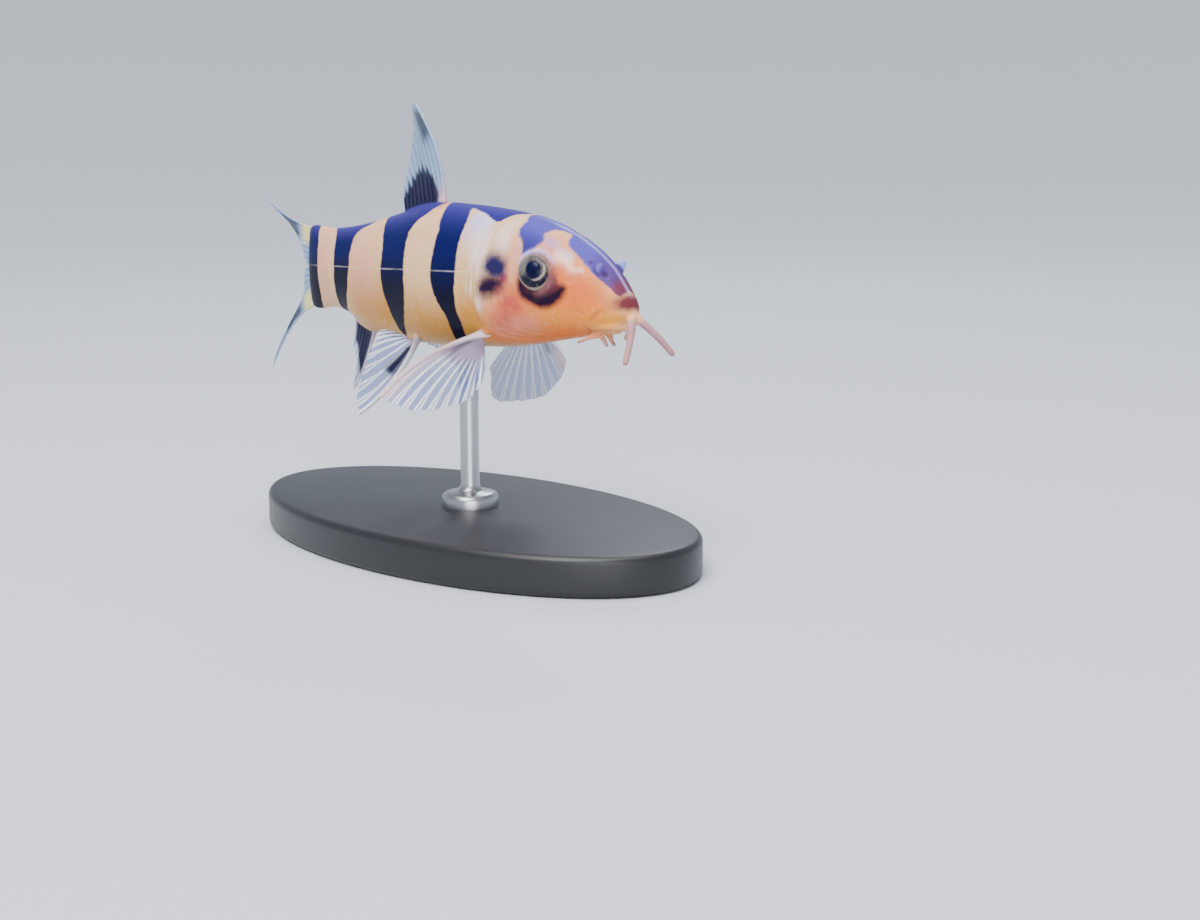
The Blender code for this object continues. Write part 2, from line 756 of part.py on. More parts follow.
def main():
    clear_scene()
    flesh = material("wet_skin", (0.80, 0.50, 0.27), 0.35)
    fin_skin = material("fin_membrane", (0.72, 0.70, 0.68), 0.4)
    eye_finish = material("eye", (0.32, 0.31, 0.24), 0.1)
    feeler_finish = material("barbel_skin", (0.78, 0.56, 0.42), 0.4)
    base_finish = material("satin_black", (0.03, 0.03, 0.035), 0.45)
    steel = material("brushed_steel", (0.6, 0.6, 0.6), 0.3, metallic=1.0)

    cutter = clearance_cutter()
    head(flesh)
    body_length("trunk", lambda angle: gill_station(angle) + GAP, STALK_STATION - GAP, 18, flesh)
    body_length("tail_stalk", lambda angle: STALK_STATION, STANDARD_LENGTH, 6, flesh)
    for side_name, side in (("right", -1), ("left", 1)):
        eyeball(f"eye_{side_name}", side, 0, helper=False, finish=eye_finish)
    median_fins(fin_skin, cutter)
    paired_fins(fin_skin, cutter)
    barbels(feeler_finish, cutter)
    stand_base(base_finish)
    stand_rod(steel, cutter)


main()
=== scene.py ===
"""Finish for a life-size young banded loach on a display stand, laid out as a Blender add-on.

Skin, eyes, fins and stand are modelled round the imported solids. Lengths inside the shape
functions are in millimetres. The fish is first drawn straight, in its own coordinates: s runs
back from the tip of the snout, y to the fish's left, z up from its long axis. posed() then
swings the tail and sets the fish over its stand, in metres.
"""

import math

import bpy
import numpy as np
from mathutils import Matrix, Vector


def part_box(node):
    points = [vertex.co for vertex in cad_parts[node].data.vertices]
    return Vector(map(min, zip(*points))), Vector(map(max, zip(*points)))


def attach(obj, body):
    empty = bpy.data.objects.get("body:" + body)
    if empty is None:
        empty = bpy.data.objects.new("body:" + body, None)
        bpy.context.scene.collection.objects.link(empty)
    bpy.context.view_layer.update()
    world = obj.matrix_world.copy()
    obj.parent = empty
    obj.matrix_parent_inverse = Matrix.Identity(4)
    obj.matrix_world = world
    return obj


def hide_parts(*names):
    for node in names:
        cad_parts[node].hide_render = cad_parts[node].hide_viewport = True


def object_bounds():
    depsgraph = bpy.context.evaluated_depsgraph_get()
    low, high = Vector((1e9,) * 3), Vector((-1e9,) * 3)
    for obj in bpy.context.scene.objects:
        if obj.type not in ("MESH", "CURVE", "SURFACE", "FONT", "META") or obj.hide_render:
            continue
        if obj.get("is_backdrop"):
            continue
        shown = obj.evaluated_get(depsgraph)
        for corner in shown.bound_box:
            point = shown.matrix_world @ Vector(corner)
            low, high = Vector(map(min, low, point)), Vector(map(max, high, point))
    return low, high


bl_info = {
    "name": "Banded Loach Finish",
    "version": (1, 0, 0),
    "blender": (4, 5, 0),
    "location": "3D View > Sidebar > Loach",
    "description": "Models the skin, eyes, fins, stand and studio of a life-size banded loach",
    "category": "Object",
}

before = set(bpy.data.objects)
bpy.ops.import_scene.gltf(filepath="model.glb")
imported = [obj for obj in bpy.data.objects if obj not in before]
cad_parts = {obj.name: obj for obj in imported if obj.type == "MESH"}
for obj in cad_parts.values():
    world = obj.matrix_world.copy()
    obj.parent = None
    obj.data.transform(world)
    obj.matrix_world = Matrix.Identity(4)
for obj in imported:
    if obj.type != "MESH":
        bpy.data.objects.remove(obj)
SOLID_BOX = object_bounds()
BASE_LOW, BASE_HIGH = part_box("stand_base")

MM = 0.001
BODY = "root"

# Place of the fish over its stand, and the swing of its tail, in mm and radians
ROD_STATION = 24.5
AXIS_HEIGHT = 28.0
SWING_START = 46.0
SWING_END = 57.0
SWING_ANGLE = math.radians(7)

# Outline of the body, one row for each station: place back from the snout, top, bottom, half
# width, height of the widest point, and how square the section is above and below it
BODY_OUTLINE = (
    (0.0, -2.0, -2.4, 0.15, -2.2, 2.0, 2.0),
    (0.35, -1.1, -3.0, 0.95, -2.1, 2.0, 2.0),
    (1.2, 0.1, -3.5, 1.5, -2.0, 2.0, 2.1),
    (3.0, 2.0, -4.1, 2.15, -1.6, 2.1, 2.2),
    (6.0, 3.9, -4.8, 2.95, -1.1, 2.2, 2.2),
    (10.0, 5.6, -5.5, 3.8, -0.7, 2.15, 2.2),
    (14.0, 6.6, -6.2, 4.35, -0.8, 2.1, 2.2),
    (18.0, 7.1, -6.7, 4.65, -0.9, 2.0, 2.2),
    (23.0, 7.5, -7.0, 4.7, -0.9, 1.9, 2.2),
    (28.0, 7.7, -7.25, 4.4, -0.6, 1.85, 2.1),
    (34.0, 6.7, -7.25, 3.75, -0.3, 1.85, 2.0),
    (40.0, 5.5, -6.7, 2.9, -0.1, 1.9, 1.9),
    (42.5, 5.1, -5.9, 2.5, 0.0, 1.9, 1.9),
    (45.5, 4.75, -4.75, 2.05, 0.1, 1.9, 1.9),
    (48.0, 4.6, -4.35, 1.65, 0.1, 1.9, 1.9),
    (52.0, 4.9, -4.75, 0.95, 0.1, 1.9, 1.9),
    (52.9, 4.7, -4.55, 0.6, 0.1, 1.9, 1.9),
    (53.4, 4.3, -4.1, 0.25, 0.1, 1.9, 1.9),
)
BODY_LENGTH = BODY_OUTLINE[-1][0]

EYE_STATION = 10.0
EYE_HEIGHT = 1.3
EYE_SET_IN = 0.5
EYE_LENGTHENING = 1.06  # how much longer an eye is along the head than up it
EYE_HALF_DEPTH = 1.4
EYE_TURN = math.radians(12)
PUPIL_AHEAD = 0.16
PUPIL_UP = 0.22

NOSTRIL_STATION = 3.4
NOSTRIL_ANGLE = 33.0
MOUTH_FRONT = 1.35
MOUTH_CORNER = 4.5
MOUTH_HALF_WIDTH = 1.35
LIP_SPACING = 1.25

# The photograph's view, in mm
CAMERA_PLACE = (129.319, -105.562, 37.807)
CAMERA_LENS = 48.0
CAMERA_FRAME_WIDTH = 36.0

# Dark bands round the body: for each, the station of its front and of its rear edge, at
# angles in degrees from the mid-line of the back down to the belly
BANDS = (
    (
        ((0, 21.6), (13, 22.0), (37, 21.2), (55, 21.1), (75, 20.9), (104, 20.9), (122, 20.6), (145, 21.2),
         (180, 22.6)),
        ((0, 26.4), (11, 26.2), (34, 25.5), (51, 24.9), (77, 24.9), (89, 24.5), (102, 23.6), (119, 22.6),
         (142, 23.0), (180, 24.0)),
    ),
    (
        ((0, 27.6), (10, 27.3), (27, 28.1), (39, 29.5), (50, 30.2), (64, 30.1), (97, 29.8), (116, 30.4),
         (139, 31.8), (180, 33.6)),
        ((0, 37.2), (20, 36.6), (45, 35.5), (63, 34.7), (95, 34.4), (119, 33.5), (140, 33.1), (180, 32.6)),
    ),
    (
        ((0, 38.9), (20, 39.7), (30, 41.3), (47, 41.9), (83, 41.9), (104, 42.4), (122, 43.2), (165, 44.6),
         (180, 44.5)),
        ((0, 47.6), (9, 47.2), (56, 45.7), (86, 45.5), (110, 45.7), (131, 45.9), (180, 46.0)),
    ),
    (
        ((0, 50.7), (26, 50.4), (64, 49.8), (90, 49.7), (125, 49.7), (163, 50.4), (180, 50.6)),
        ((0, 60), (180, 60)),
    ),
)

# Marks of the head and nape, as outlines of (station, degrees down from the back)
NAPE_SADDLE = (
    (24.0, -8), (24.0, 15), (22.0, 14), (20.5, 19), (19.0, 23), (18.0, 27), (17.0, 31), (16.3, 29),
    (15.8, 22), (15.2, 13), (14.5, 8), (14.2, -8),
)
CROWN_STRIPE = (
    (14.0, -8), (13.8, 8), (13.5, 16), (13.2, 22), (13.3, 35), (13.0, 42), (12.2, 47), (11.8, 60),
    (10.4, 60), (10.5, 50), (10.1, 45), (9.9, 38), (10.3, 30), (9.9, 24), (9.6, 17), (8.8, 11), (8.0, 8),
    (7.6, 14), (7.5, 22), (7.2, 31), (6.2, 35), (4.8, 42), (4.0, 46.5), (3.2, 50), (2.4, 50),
    (1.9, 48), (1.4, 50), (0.9, 46), (0.8, 20), (0.9, -8),
)
CHEEK_CRESCENT = (
    (11.6, 81), (11.75, 84), (11.65, 88), (11.3, 93), (10.6, 98), (9.9, 101.5), (9.3, 104), (8.7, 104.5),
    (8.1, 102), (7.4, 97), (6.9, 91), (6.5, 85), (6.35, 81.5), (6.6, 80.5), (7.0, 82), (7.4, 85.5),
    (7.9, 88.5), (8.6, 90.3), (9.3, 90.8), (10.1, 90.5), (10.8, 89.5), (11.2, 86), (11.4, 81),
)
UNDER_EYE = (
    (11.6, 74), (11.75, 80), (11.6, 87), (11.2, 92), (10, 95), (9, 95), (8, 92), (7.0, 84), (7.15, 80),
    (7.5, 73), (10, 70),
)
GILL_SPOTS = (
    ((16.3, 73), (16.1, 67), (15.6, 64), (14.9, 63.5), (14.2, 66), (13.7, 70), (13.75, 77), (14.3, 81),
     (15.4, 80.5), (16.0, 77)),
    ((16.8, 90.5), (16.8, 86), (16.4, 81), (15.4, 79), (14.5, 80), (13.95, 82), (14.0, 86), (14.7, 89.5),
     (15.4, 92), (16.2, 93)),
)
HEAD_DEGREE = 0.085  # mm of skin for each degree round the head
BODY_DEGREE = 0.12  # and round the trunk


def linear(code):
    """The linear colour of an sRGB hex code."""
    parts = [int(code[i : i + 2], 16) / 255 for i in (1, 3, 5)]
    return tuple(part / 12.92 if part <= 0.04045 else ((part + 0.055) / 1.055) ** 2.4 for part in parts)


def unit(vectors):
    return vectors / np.linalg.norm(vectors, axis=-1, keepdims=True)


def smooth(low, high, value):
    """A soft step from 0 at low to 1 at high."""
    share = np.clip((value - low) / (high - low), 0, 1)
    return share * share * (3 - 2 * share)


def curve_through(pairs):
    """A smooth function through (place, size) pairs, which never overshoots them."""
    places, sizes = (np.array(column, float) for column in zip(*pairs))
    widths = np.diff(places)
    slopes = np.diff(sizes) / widths
    tangents = np.zeros(len(sizes))
    tangents[0], tangents[-1] = slopes[0], slopes[-1]
    for i in range(1, len(slopes)):
        before, after = slopes[i - 1], slopes[i]
        if before * after > 0:
            tangents[i] = 2 * before * after / (before + after)

    def read(place):
        place = np.clip(place, places[0], places[-1])
        i = np.minimum(np.searchsorted(places, place, side="right") - 1, len(widths) - 1)
        width = widths[i]
        t = (place - places[i]) / width
        start = (1 + 2 * t) * (1 - t) ** 2 * sizes[i] + t * (1 - t) ** 2 * width * tangents[i]
        end = t * t * (3 - 2 * t) * sizes[i + 1] + t * t * (t - 1) * width * tangents[i + 1]
        return start + end

    return read


def outline_column(number):
    return curve_through([(row[0], row[number]) for row in BODY_OUTLINE])


TOP, BOTTOM, HALF_WIDTH, WIDEST, BACK_POWER, BELLY_POWER = map(outline_column, range(1, 7))


def skin_points(s, angle):
    """Straight-fish points of the skin, at stations s and angles in radians from the back to the left."""
    up, side = np.cos(angle), np.sin(angle)
    power = 2 / np.where(up > 0, BACK_POWER(s), BELLY_POWER(s))
    reach = np.where(up > 0, TOP(s) - WIDEST(s), WIDEST(s) - BOTTOM(s))
    y = HALF_WIDTH(s) * np.sign(side) * np.abs(side) ** power
    z = WIDEST(s) + reach * np.sign(up) * np.abs(up) ** power
    return np.stack([s, y, z], -1)


def spine(s):
    """Where the long axis is at stations s, as x and y from the snout, and its turn there."""
    steps = 24
    x, y, heading = -np.minimum(s, SWING_START), np.zeros_like(s), np.zeros_like(s)
    step = np.maximum(s - SWING_START, 0) / steps
    for i in range(steps):
        t = np.minimum(1, step * (i + 0.5) / (SWING_END - SWING_START))
        heading = SWING_ANGLE * t * t * (3 - 2 * t)
        x = x - step * np.cos(heading)
        y = y + step * np.sin(heading)
    return x, y, heading


def posed(points):
    """Straight-fish points in mm, moved to the posed fish on its stand, in metres."""
    points = np.asarray(points, float)
    x, y, heading = spine(points[..., 0])
    side = points[..., 1]
    across, along = side * np.cos(heading), side * np.sin(heading)
    return MM * np.stack([ROD_STATION + x + along, y + across, AXIS_HEIGHT + points[..., 2]], -1)


def straightened(points):
    """Points of the posed fish, in metres, taken back to straight-fish coordinates in mm."""
    x = points[:, 0] / MM - ROD_STATION
    y = points[:, 1] / MM
    s = -x
    for _ in range(6):
        axis_x, axis_y, heading = spine(s)
        s = s - (x - axis_x) * np.cos(heading) + (y - axis_y) * np.sin(heading)
    axis_x, axis_y, heading = spine(s)
    side = (x - axis_x) * np.sin(heading) + (y - axis_y) * np.cos(heading)
    return np.stack([s, side, points[:, 2] / MM - AXIS_HEIGHT], -1)


def round_body(places):
    """For straight-fish points: the angle round from the back, in degrees, and the height over the skin."""
    s, y, z = places.T
    inside = np.clip(s, 0.3, BODY_LENGTH)
    above = z > WIDEST(inside)
    power = np.where(above, BACK_POWER(inside), BELLY_POWER(inside))
    reach = np.where(above, TOP(inside) - WIDEST(inside), WIDEST(inside) - BOTTOM(inside))
    side = np.abs(y) / HALF_WIDTH(inside)
    up = np.abs(z - WIDEST(inside)) / reach
    angle = np.degrees(np.arctan2(side ** (power / 2), np.where(above, 1, -1) * up ** (power / 2)))
    size = (side**power + up**power) ** (1 / power)
    distance = np.hypot(y, z - WIDEST(inside))
    over = distance * (1 - 1 / np.maximum(size, 1e-3))
    return angle, over + np.maximum(0, 0.3 - s)


def depth_inside(x, y, outline):
    """How far each point lies inside a closed outline, negative outside it."""
    corners = np.array(outline, float)
    best = np.full(x.shape, 1e9)
    odd = np.zeros(x.shape, bool)
    for (ax, ay), (bx, by) in zip(corners, np.roll(corners, -1, axis=0)):
        dx, dy = bx - ax, by - ay
        t = np.clip(((x - ax) * dx + (y - ay) * dy) / (dx * dx + dy * dy), 0, 1)
        best = np.minimum(best, np.hypot(x - ax - t * dx, y - ay - t * dy))
        if dy:
            crossing = (ay > y) != (by > y)
            odd ^= crossing & (x < ax + (y - ay) * dx / dy)
    return np.where(odd, best, -best)


def mark_depth(s, angle, outline, degree):
    """depth_inside for an outline of stations and degrees, in mm of skin."""
    return depth_inside(s, angle * degree, [(place, turn * degree) for place, turn in outline])


def toned(colour, share, tint):
    """A colour at each point, moved towards a tint by the point's own share."""
    return colour + share[:, None] * (np.array(tint) - colour)


def deselect():
    if bpy.context.mode != "OBJECT":
        bpy.ops.object.mode_set(mode="OBJECT")
    bpy.ops.object.select_all(action="DESELECT")


def only(obj):
    """Makes obj the one selected, active object."""
    deselect()
    obj.select_set(True)
    bpy.context.view_layer.objects.active = obj


def coordinates(obj):
    values = np.empty(len(obj.data.vertices) * 3)
    obj.data.vertices.foreach_get("co", values)
    return values.reshape(-1, 3)


def set_coordinates(obj, points):
    obj.data.vertices.foreach_set("co", np.asarray(points, np.float32).ravel())
    obj.data.update()


def normals(obj):
    values = np.empty(len(obj.data.vertices) * 3, np.float32)
    obj.data.vertex_normals.foreach_get("vector", values)
    return values.reshape(-1, 3).astype(float)


def store(obj, name, values):
    """Keeps a number, or three, for each point of the mesh, under a name that the material reads."""
    kind = "FLOAT" if values.ndim == 1 else "FLOAT_VECTOR"
    attribute = obj.data.attributes.new(name, kind, "POINT")
    key = "value" if values.ndim == 1 else "vector"
    attribute.data.foreach_set(key, np.asarray(values, np.float32).ravel())


def new_grid(name, columns, rows):
    """A grid to be shaped, with the share across and up of each of its points."""
    deselect()
    bpy.ops.mesh.primitive_grid_add(x_subdivisions=columns, y_subdivisions=rows, size=1, location=(0, 0, 0))
    grid = bpy.context.active_object
    grid.name = grid.data.name = name
    shares = coordinates(grid)[:, :2] + 0.5
    return grid, shares[:, 0], shares[:, 1]


def new_ball(name, segments, rings):
    deselect()
    bpy.ops.mesh.primitive_uv_sphere_add(segments=segments, ring_count=rings, radius=1, location=(0, 0, 0))
    ball = bpy.context.active_object
    ball.name = ball.data.name = name
    return ball


def edit(obj, *steps):
    """Runs edit-mode steps on the whole mesh."""
    only(obj)
    bpy.ops.object.mode_set(mode="EDIT")
    bpy.ops.mesh.select_all(action="SELECT")
    for step, options in steps:
        step(**options)
    bpy.ops.object.mode_set(mode="OBJECT")


def face_outward(obj):
    edit(obj, (bpy.ops.mesh.normals_make_consistent, {"inside": False}))


def join(objects):
    deselect()
    for obj in objects:
        obj.select_set(True)
    bpy.context.view_layer.objects.active = objects[0]
    bpy.ops.object.join()
    return bpy.context.view_layer.objects.active


def apply_modifier(obj, name, kind, **settings):
    modifier = obj.modifiers.new(name, kind)
    for setting, value in settings.items():
        setattr(modifier, setting, value)
    only(obj)
    bpy.ops.object.modifier_apply(modifier=modifier.name)


def settle(obj, finish, slot, *nodes):
    """Gives a finished piece its material and its body, and hides the nodes that it stands for."""
    only(obj)
    bpy.ops.object.transform_apply(location=True, rotation=True, scale=True)
    bpy.ops.object.shade_smooth()
    obj.data.materials.clear()
    obj.data.materials.append(finish)
    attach(obj, BODY)
    if nodes:
        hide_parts(*nodes)


def tube(name, points, radii, sides=6):
    """A tapering tube with a round end, through posed points, as a mesh."""
    deselect()
    bpy.ops.curve.primitive_nurbs_path_add(location=(0, 0, 0))
    path = bpy.context.active_object
    path.name = name
    path.data.splines.clear()
    spline = path.data.splines.new("POLY")
    spline.points.add(len(points) - 1)
    for knot, point, radius in zip(spline.points, points, radii):
        knot.co = (*point, 1)
        knot.radius = radius / MM
    path.data.dimensions = "3D"
    path.data.bevel_depth = MM
    path.data.bevel_resolution = sides
    path.data.use_fill_caps = True
    only(path)
    bpy.ops.object.convert(target="MESH")
    made = bpy.context.active_object
    edit(made, (bpy.ops.mesh.remove_doubles, {"threshold": 1e-6}), (bpy.ops.mesh.normals_make_consistent, {}))
    return made


def skin_frame(s, degrees):
    """A posed skin point, in metres, with the unit directions out of it, back along it and round it."""
    angle = math.radians(degrees)
    s, step = float(s), 0.05
    here, behind, beside = (
        posed(skin_points(np.array(place), np.array(turn)))
        for place, turn in ((s, angle), (s + step, angle), (s, angle + 0.01))
    )
    back = (behind - here) / np.linalg.norm(behind - here)
    round_it = (beside - here) / np.linalg.norm(beside - here)
    out = np.cross(round_it, back)
    return here, out / np.linalg.norm(out), back, round_it


def eye_degrees():
    angles = np.radians(np.linspace(20, 110, 2000))
    heights = skin_points(np.full(2000, EYE_STATION), angles)[:, 2]
    return math.degrees(angles[np.argmin(np.abs(heights - EYE_HEIGHT))])


def eye_middle(side):
    here, out, back, round_it = skin_frame(EYE_STATION, side * eye_degrees())
    return here - out * EYE_SET_IN * MM, out, back, round_it


# Skin

def body_form():
    """The body from snout to the end of its flesh, as a closed form with a gill cover."""
    form, along, across = new_grid("loach_skin", 300, 160)
    s = BODY_LENGTH * along**1.25
    angle = 2 * math.pi * (across - 0.5)
    points = skin_points(s, angle)
    side = np.abs(np.sin(angle))
    edge = 15.4 + 2.4 * side**1.5
    # the gill cover swells towards its edge on the sides, with a fine groove behind it
    swell = smooth(-3.5, -0.25, s - edge) * (1 - smooth(-0.2, 0.15, s - edge))
    groove = np.exp(-(((s - edge - 0.25) / 0.22) ** 2))
    points[:, 1] += np.sign(points[:, 1]) * side**2 * (0.3 * swell - 0.12 * groove)
    set_coordinates(form, posed(points))
    edit(form, (bpy.ops.mesh.remove_doubles, {"threshold": 1e-6}))
    edit(
        form,
        (bpy.ops.mesh.select_all, {"action": "DESELECT"}),
        (bpy.ops.mesh.select_mode, {"type": "EDGE"}),
        (bpy.ops.mesh.select_non_manifold, {}),
        (bpy.ops.mesh.edge_face_add, {}),
    )
    edit(form, (bpy.ops.mesh.fill_holes, {"sides": 0}))
    face_outward(form)
    return form


def under_skin(s, y, lift=0.0):
    """Posed points of the skin under the head, at stations s and sides y."""
    s, y = np.asarray(s, float), np.asarray(y, float)
    share = np.minimum(1, np.abs(y) / HALF_WIDTH(s)) ** (BELLY_POWER(s) / 2)
    angle = math.pi - np.copysign(np.arcsin(share), y)
    points = skin_points(s, angle)
    points[..., 2] -= lift
    return posed(points)


def mouth_line(front, points=25):
    """A horseshoe line under the snout, from the right corner round its front to the left."""
    turn = math.pi * (np.linspace(0, 1, points) - 0.5)
    s = front + (MOUTH_CORNER - front) * (1 - np.cos(turn)) ** 1.3
    return s, MOUTH_HALF_WIDTH * np.sin(turn)


def lips():
    made = []
    for front, radius, lift in ((MOUTH_FRONT, 0.5, 0.02), (MOUTH_FRONT + LIP_SPACING, 0.46, 0.02)):
        s, y = mouth_line(front)
        fullness = 0.62 + 0.38 * np.sin(np.pi * np.linspace(0, 1, len(s)))
        made.append(tube("lip", under_skin(s, y, lift), MM * radius * fullness))
    return made


# Feelers: root on the right side, directions of the right and of the left one, both given as if
# on the right, curl, length and radius
FEELERS = (
    ((0.15, -0.3, -2.75), ((-0.53, -0.515, -0.67), (-0.58, -0.525, -0.59)), (0.17, -0.02, -0.1), 5.3, 0.38),
    ((0.55, -0.3, -3.0), ((-0.1, -0.1, -0.98), (-0.1, -0.05, -0.98)), (0.25, 0.0, 0.0), 1.9, 0.24),
    ((4.15, -0.85, -4.6), ((0.62, -0.72, -0.2), (0.62, -0.72, -0.2)), (0.0, 0.0, -0.12), 2.1, 0.22),
    ((4.4, -0.4, -4.2), ((-0.66, -0.05, -0.75), (-0.66, -0.05, -0.75)), (0.0, 0.0, 0.0), 1.9, 0.26),
)


def feelers():
    made = []
    for root, directions, curl, length, radius in FEELERS:
        for side, direction in zip((1, -1), directions):
            mirror = np.array((1, side, 1))
            v = np.linspace(-0.12, 1, 24)[:, None]
            way = np.array(direction) * length * v + np.array(curl) * length * np.maximum(v, 0) ** 2
            points = (np.array(root) + way) * mirror
            v = np.clip(v[:, 0], 0, 1)
            taper = 1 - 0.28 * v + 0.15 * np.exp(-((v / 0.12) ** 2))
            end = np.sqrt(np.clip((1 - v) / 0.05, 0, 1)) * 0.75 + 0.25
            made.append(tube("feeler", posed(points), MM * (radius + 0.03) * taper * end))
    return made


def nostril_flaps():
    """The small round leaf of skin that stands up behind each front nostril."""
    made = []
    for side, lean, height in ((-1, 2.6, 0.55), (1, 0.35, 0.98)):
        here, out, back, round_it = skin_frame(NOSTRIL_STATION, side * NOSTRIL_ANGLE)
        upward = unit(out + back * lean)
        through = unit(back - out * lean)
        leaf = new_ball("nostril_flap", 24, 16)
        x, y, z = coordinates(leaf).T
        cup = 0.18 * x * x
        points = here + MM * (
            np.outer(x * 0.56, round_it) + np.outer(y * 0.24 - cup, through) + np.outer(z * height, upward)
        )
        set_coordinates(leaf, points)
        face_outward(leaf)
        made.append(leaf)
    return made


def swelling(name, places, radii, flatten):
    """A long low swelling along straight-fish places, narrowed sideways, as at a fin's root."""
    count = 24
    t = np.linspace(0, 1, count)
    start, end = np.array(places[0]), np.array(places[1])
    line = start + np.outer(t, end - start)
    full = np.sqrt(np.clip(1 - (2 * t - 1) ** 2, 0.02, 1))
    radius = (radii[0] + (radii[1] - radii[0]) * t) * full
    lump = tube(name, posed(line), MM * radius)
    middle = posed(line.mean(axis=0))
    points = coordinates(lump)
    points[:, 1] = middle[1] + (points[:, 1] - middle[1]) * flatten
    set_coordinates(lump, points)
    return lump


def fin_roots():
    """The fleshy feet of the fins, low swellings that the fins grow out of."""
    made = [
        swelling("dorsal_root", ((27.2, 0, 7.3), (35.6, 0, 6.1)), (0.85, 0.7), 0.62),
        swelling("anal_root", ((40.0, 0, -6.45), (44.9, 0, -4.9)), (0.8, 0.7), 0.62),
    ]
    for side in (-1, 1):
        for kind, radii in (("pectoral", (0.85, 0.65)), ("pelvic", (0.65, 0.5))):
            ends = np.array(paired_fin(kind, "left" if side > 0 else "right")[0])
            reach = 0.18 * (ends[1] - ends[0])
            ends = (ends + (-reach, reach)) * (1, 0.95, 0.97)
            made.append(swelling("paired_root", ends, radii, 1.0))
    return made


def shape_eye_sockets(obj):
    """Lifts a low fold over each eye and lets the skin dip under the eyeball.

    Returns the share of a painted highlight along the top of each fold, and of painted shade ahead of the
    eye.
    """
    points = coordinates(obj)
    fold_highlight, shades = np.zeros(len(points)), np.zeros(len(points))
    for side in (-1, 1):
        middle, out, back, round_it = eye_middle(side)
        offset = (points - middle) / MM
        height, behind, upward = offset @ out, offset @ back, -side * (offset @ round_it)
        radius = np.hypot(behind / EYE_LENGTHENING, upward)
        near = (height > -1.2) & (height < 2.5)
        above = smooth(0.3, 1.5, upward)
        fold = 0.22 * above * np.exp(-(((radius - 2.02) / 0.26) ** 2))
        dip = -1.4 * (1 - smooth(1.25, 1.64, radius))
        points += np.outer(np.where(near, fold + dip, 0) * MM, out)
        # a painted highlight along the top of the fold
        ring = np.exp(-(((radius - 2.0) / 0.3) ** 2))
        fold_highlight = np.maximum(fold_highlight, np.where(near, ring * above, 0))
        # painted shade ahead of the eye, fainter on top
        edge = np.exp(-(((radius - 1.9) / 0.5) ** 2)) * smooth(-0.2, 0.9, -behind)
        shades = np.maximum(shades, np.where(near, edge * (1 - 0.8 * above), 0))
    set_coordinates(obj, points)
    return fold_highlight, shades


def press_in(obj, centre, radius, depth, along):
    """Presses a small round hollow into the skin, and says how deep in it each point is."""
    points = coordinates(obj)
    distance = np.linalg.norm(points - centre, axis=1) / MM
    share = np.exp(-((distance / radius) ** 2))
    set_coordinates(obj, points - np.outer(share * depth * MM, along))
    return share


def press_creases(obj):
    """The mouth's slit, the front nostrils and the slits behind them."""
    s, y = mouth_line(MOUTH_FRONT + 0.5 * LIP_SPACING, 41)
    line = under_skin(s, y, 0.1)
    points = coordinates(obj)
    low = points[:, 2] < (AXIS_HEIGHT - 2.0) * MM
    nearest = np.full(len(points), 1e9)
    index = np.where(low)[0]
    for spot in line:
        nearest[index] = np.minimum(nearest[index], np.linalg.norm(points[index] - spot, axis=1) / MM)
    shaded_crease = np.exp(-((nearest / 0.28) ** 2))
    points[:, 2] += shaded_crease * 0.45 * MM
    set_coordinates(obj, points)
    for side in (-1, 1):
        for station, size, depth in ((NOSTRIL_STATION - 0.6, 0.24, 0.3), (NOSTRIL_STATION + 1.0, 0.2, 0.12)):
            here, out, _, _ = skin_frame(station, side * (NOSTRIL_ANGLE + 1))
            shaded_crease = np.maximum(shaded_crease, press_in(obj, here, size, depth, out))
    return shaded_crease


# Fine grooves of the head, as lines of (station, degrees down from the back), width and depth in mm
GROOVES = (
    (((2.4, 97), (2.7, 103), (3.2, 112), (3.75, 122), (4.1, 131)), 0.17, 0.2),
    (((5.6, 104), (4.6, 110), (4.2, 118)), 0.14, 0.07),
    (((9.3, 95), (8.2, 97), (7.4, 94)), 0.13, 0.1),
    (((16.9, 118), (15.6, 134), (13.4, 148), (10.8, 160), (8.6, 170)), 0.17, 0.16),
    (((15.3, 120), (13.8, 134), (11.8, 148), (9.4, 159)), 0.16, 0.06),
    (((14.0, 117), (12.4, 131), (10.4, 144), (8.4, 154)), 0.16, 0.05),
    (((6.9, 45), (6.3, 56), (6.5, 66)), 0.2, 0.05),
)


def press_grooves(obj):
    """Draws the grooves of the head into the skin, alike on both sides."""
    points = coordinates(obj)
    inward = normals(obj)
    index = np.where(points[:, 0] > (ROD_STATION - 20) * MM)[0]
    for places, width, depth in GROOVES:
        stations, degrees = np.array(places).T
        share = np.linspace(0, 1, 40)
        along = np.interp(share, np.linspace(0, 1, len(places)), stations)
        turn = np.radians(np.interp(share, np.linspace(0, 1, len(places)), degrees))
        fade = np.sin(np.pi * np.clip(share, 0.04, 0.96)) ** 0.5
        for side in (-1, 1):
            line = posed(skin_points(along, side * turn))
            push = np.zeros(len(index))
            for spot, strength in zip(line, fade):
                distance = np.linalg.norm(points[index] - spot, axis=1) / MM
                push = np.maximum(push, strength * np.exp(-((distance / width) ** 2)))
            points[index] -= inward[index] * (push * depth * MM)[:, None]
    set_coordinates(obj, points)


def band_depth(s, angle):
    depth = np.full(s.shape, -9.0)
    for front, rear in BANDS:
        inside = np.minimum(s - curve_through(front)(angle), curve_through(rear)(angle) - s)
        depth = np.maximum(depth, inside)
    return np.maximum(depth, mark_depth(s, angle, NAPE_SADDLE, BODY_DEGREE))
